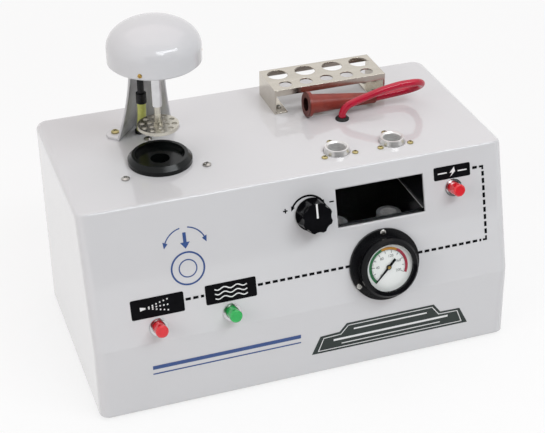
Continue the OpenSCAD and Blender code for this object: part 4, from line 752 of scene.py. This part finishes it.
for value in range(0, NUMBER_LAST + 1, NUMBER_STEP):
    number(str(value), *on_dial(value / NUMBER_LAST, NUMBER_R))

# Domed cap on the needle's hub, and the pointer line on the knob
HUB_R, HUB_FLAT, HUB_OFF = 2.0, 0.42, 12.3
LINE_X, LINE_HALF, LINE_FROM, LINE_TO, LINE_OFF = 8.5, 0.85, 22.6, 35.8, 17.56


def hub_cap():
    bm = bmesh.new()
    bmesh.ops.create_uvsphere(bm, u_segments=24, v_segments=12, radius=HUB_R * MM)
    place = Matrix.Translation(on_panel(DIAL_X, DIAL_S, HUB_OFF)) @ PANEL_TURN
    bmesh.ops.transform(bm, matrix=place @ Matrix.Diagonal((1, 1, HUB_FLAT, 1)), verts=bm.verts)
    mesh = bpy.data.meshes.new("needle_hub_cap")
    bm.to_mesh(mesh)
    bm.free()
    smoothed(mesh)
    mesh.materials.append(BRASS)
    cap = put("needle_hub_cap", mesh)
    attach(cap, "needle")


hub_cap()
bars("knob_line", [rect(LINE_X - LINE_HALF, LINE_X + LINE_HALF, LINE_FROM, LINE_TO)], WHITE_INK_AND_HIGHLIGHT, on_panel,
     LINE_OFF, body="knob")


# Springs: smooth-shaded copies with their own meshes, carried by the case; the imported springs are hidden
def spring(name):
    ob = put(name + "_wire", nodes[name].data.copy())
    smoothed(ob.data)
    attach(ob, "case")
    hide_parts(name)
    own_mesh(ob)


BUTTONS = (("blast", -141.5, 112.0), ("air", -74.0, 112.0), ("tester", 147.5, 36.0))
for name, x, s in BUTTONS:
    spring(name + "_spring")
spring("plunger_spring")

# Studio: pale floor that fades to white, white surround, a dim card behind the camera and soft lights
FLOOR_SIZE, FLOOR_GREY, FLOOR_ROUGH = 8, 0.88, 0.7
FLOOR_FADE, FLOOR_GLOW = (0.6, 2.4), (0.78, 1.0)
WORLD_LIGHT = 0.45
CARD_PLACE, CARD_SCALE, CARD_GREY, CARD_ROUGH = (0.0, -2.3, 0.9), (4.0, 1.8, 1), 0.12, 0.9


def seen(tree):
    ray = node(tree, "ShaderNodeLightPath").outputs
    direct = calc(tree, "MAXIMUM", ray["Is Camera Ray"], ray["Is Transmission Ray"])
    return calc(tree, "MAXIMUM", direct, ray["Is Glossy Ray"])


def floor():
    bpy.ops.mesh.primitive_plane_add(size=FLOOR_SIZE, location=(0, 0, 0))
    ob = bpy.context.object
    ob.name = "floor"
    mat, tree, shader = material("floor_white")
    feed(tree, shader, {"Base Color": grey(FLOOR_GREY), "Roughness": FLOOR_ROUGH})
    glow = node(tree, "ShaderNodeEmission", {"Color": grey(1), "Strength": 1.0})
    away = vector(tree, "LENGTH", node(tree, "ShaderNodeNewGeometry").outputs["Position"])
    output(tree, shader, glow, calc(tree, "MULTIPLY", seen(tree), span(tree, away, FLOOR_FADE, FLOOR_GLOW)))
    ob.data.materials.append(mat)


def surround():
    world = bpy.data.worlds.new("studio")
    scene.world = world
    world.use_nodes = True
    tree = world.node_tree
    level = span(tree, seen(tree), (0.0, 1.0), (WORLD_LIGHT, 1.0))
    feed(tree, tree.nodes["Background"], {"Color": grey(1), "Strength": level})


def card():
    bpy.ops.mesh.primitive_plane_add(size=1, location=CARD_PLACE)
    ob = bpy.context.object
    ob.name = "dim_card"
    ob.scale = CARD_SCALE
    ob.rotation_euler = (math.radians(90), 0, 0)
    mat, tree, shader = material("card_grey")
    feed(tree, shader, {"Base Color": grey(CARD_GREY), "Roughness": CARD_ROUGH})
    ob.data.materials.append(mat)
    ob.visible_camera = False


def area(name, place, aim, size, power, colour, glossy=True):
    data = bpy.data.lights.new(name, "AREA")
    data.shape = "RECTANGLE"
    data.size, data.size_y = size
    data.energy = power
    data.color = colour
    ob = put(name, data)
    ob.location = place
    ob.rotation_euler = (Vector(aim) - Vector(place)).to_track_quat("-Z", "Y").to_euler()
    ob.visible_glossy = glossy


floor()
surround()
card()
area("key", (0.5, -1.15, 1.55), (0.1, 0, 0.15), (1.5, 0.45), 16.5, (0.93, 0.975, 1.0))
area("left", (-1.5, -0.7, 0.9), (0, 0, 0.12), (1.1, 1.0), 8.5, (1.0, 0.975, 0.965), glossy=False)
area("above", (0.1, 0.4, 1.8), (0, 0, 0.2), (2.4, 1.8), 10.2, (1.0, 0.87, 0.85))
scene.view_settings.view_transform = "Standard"
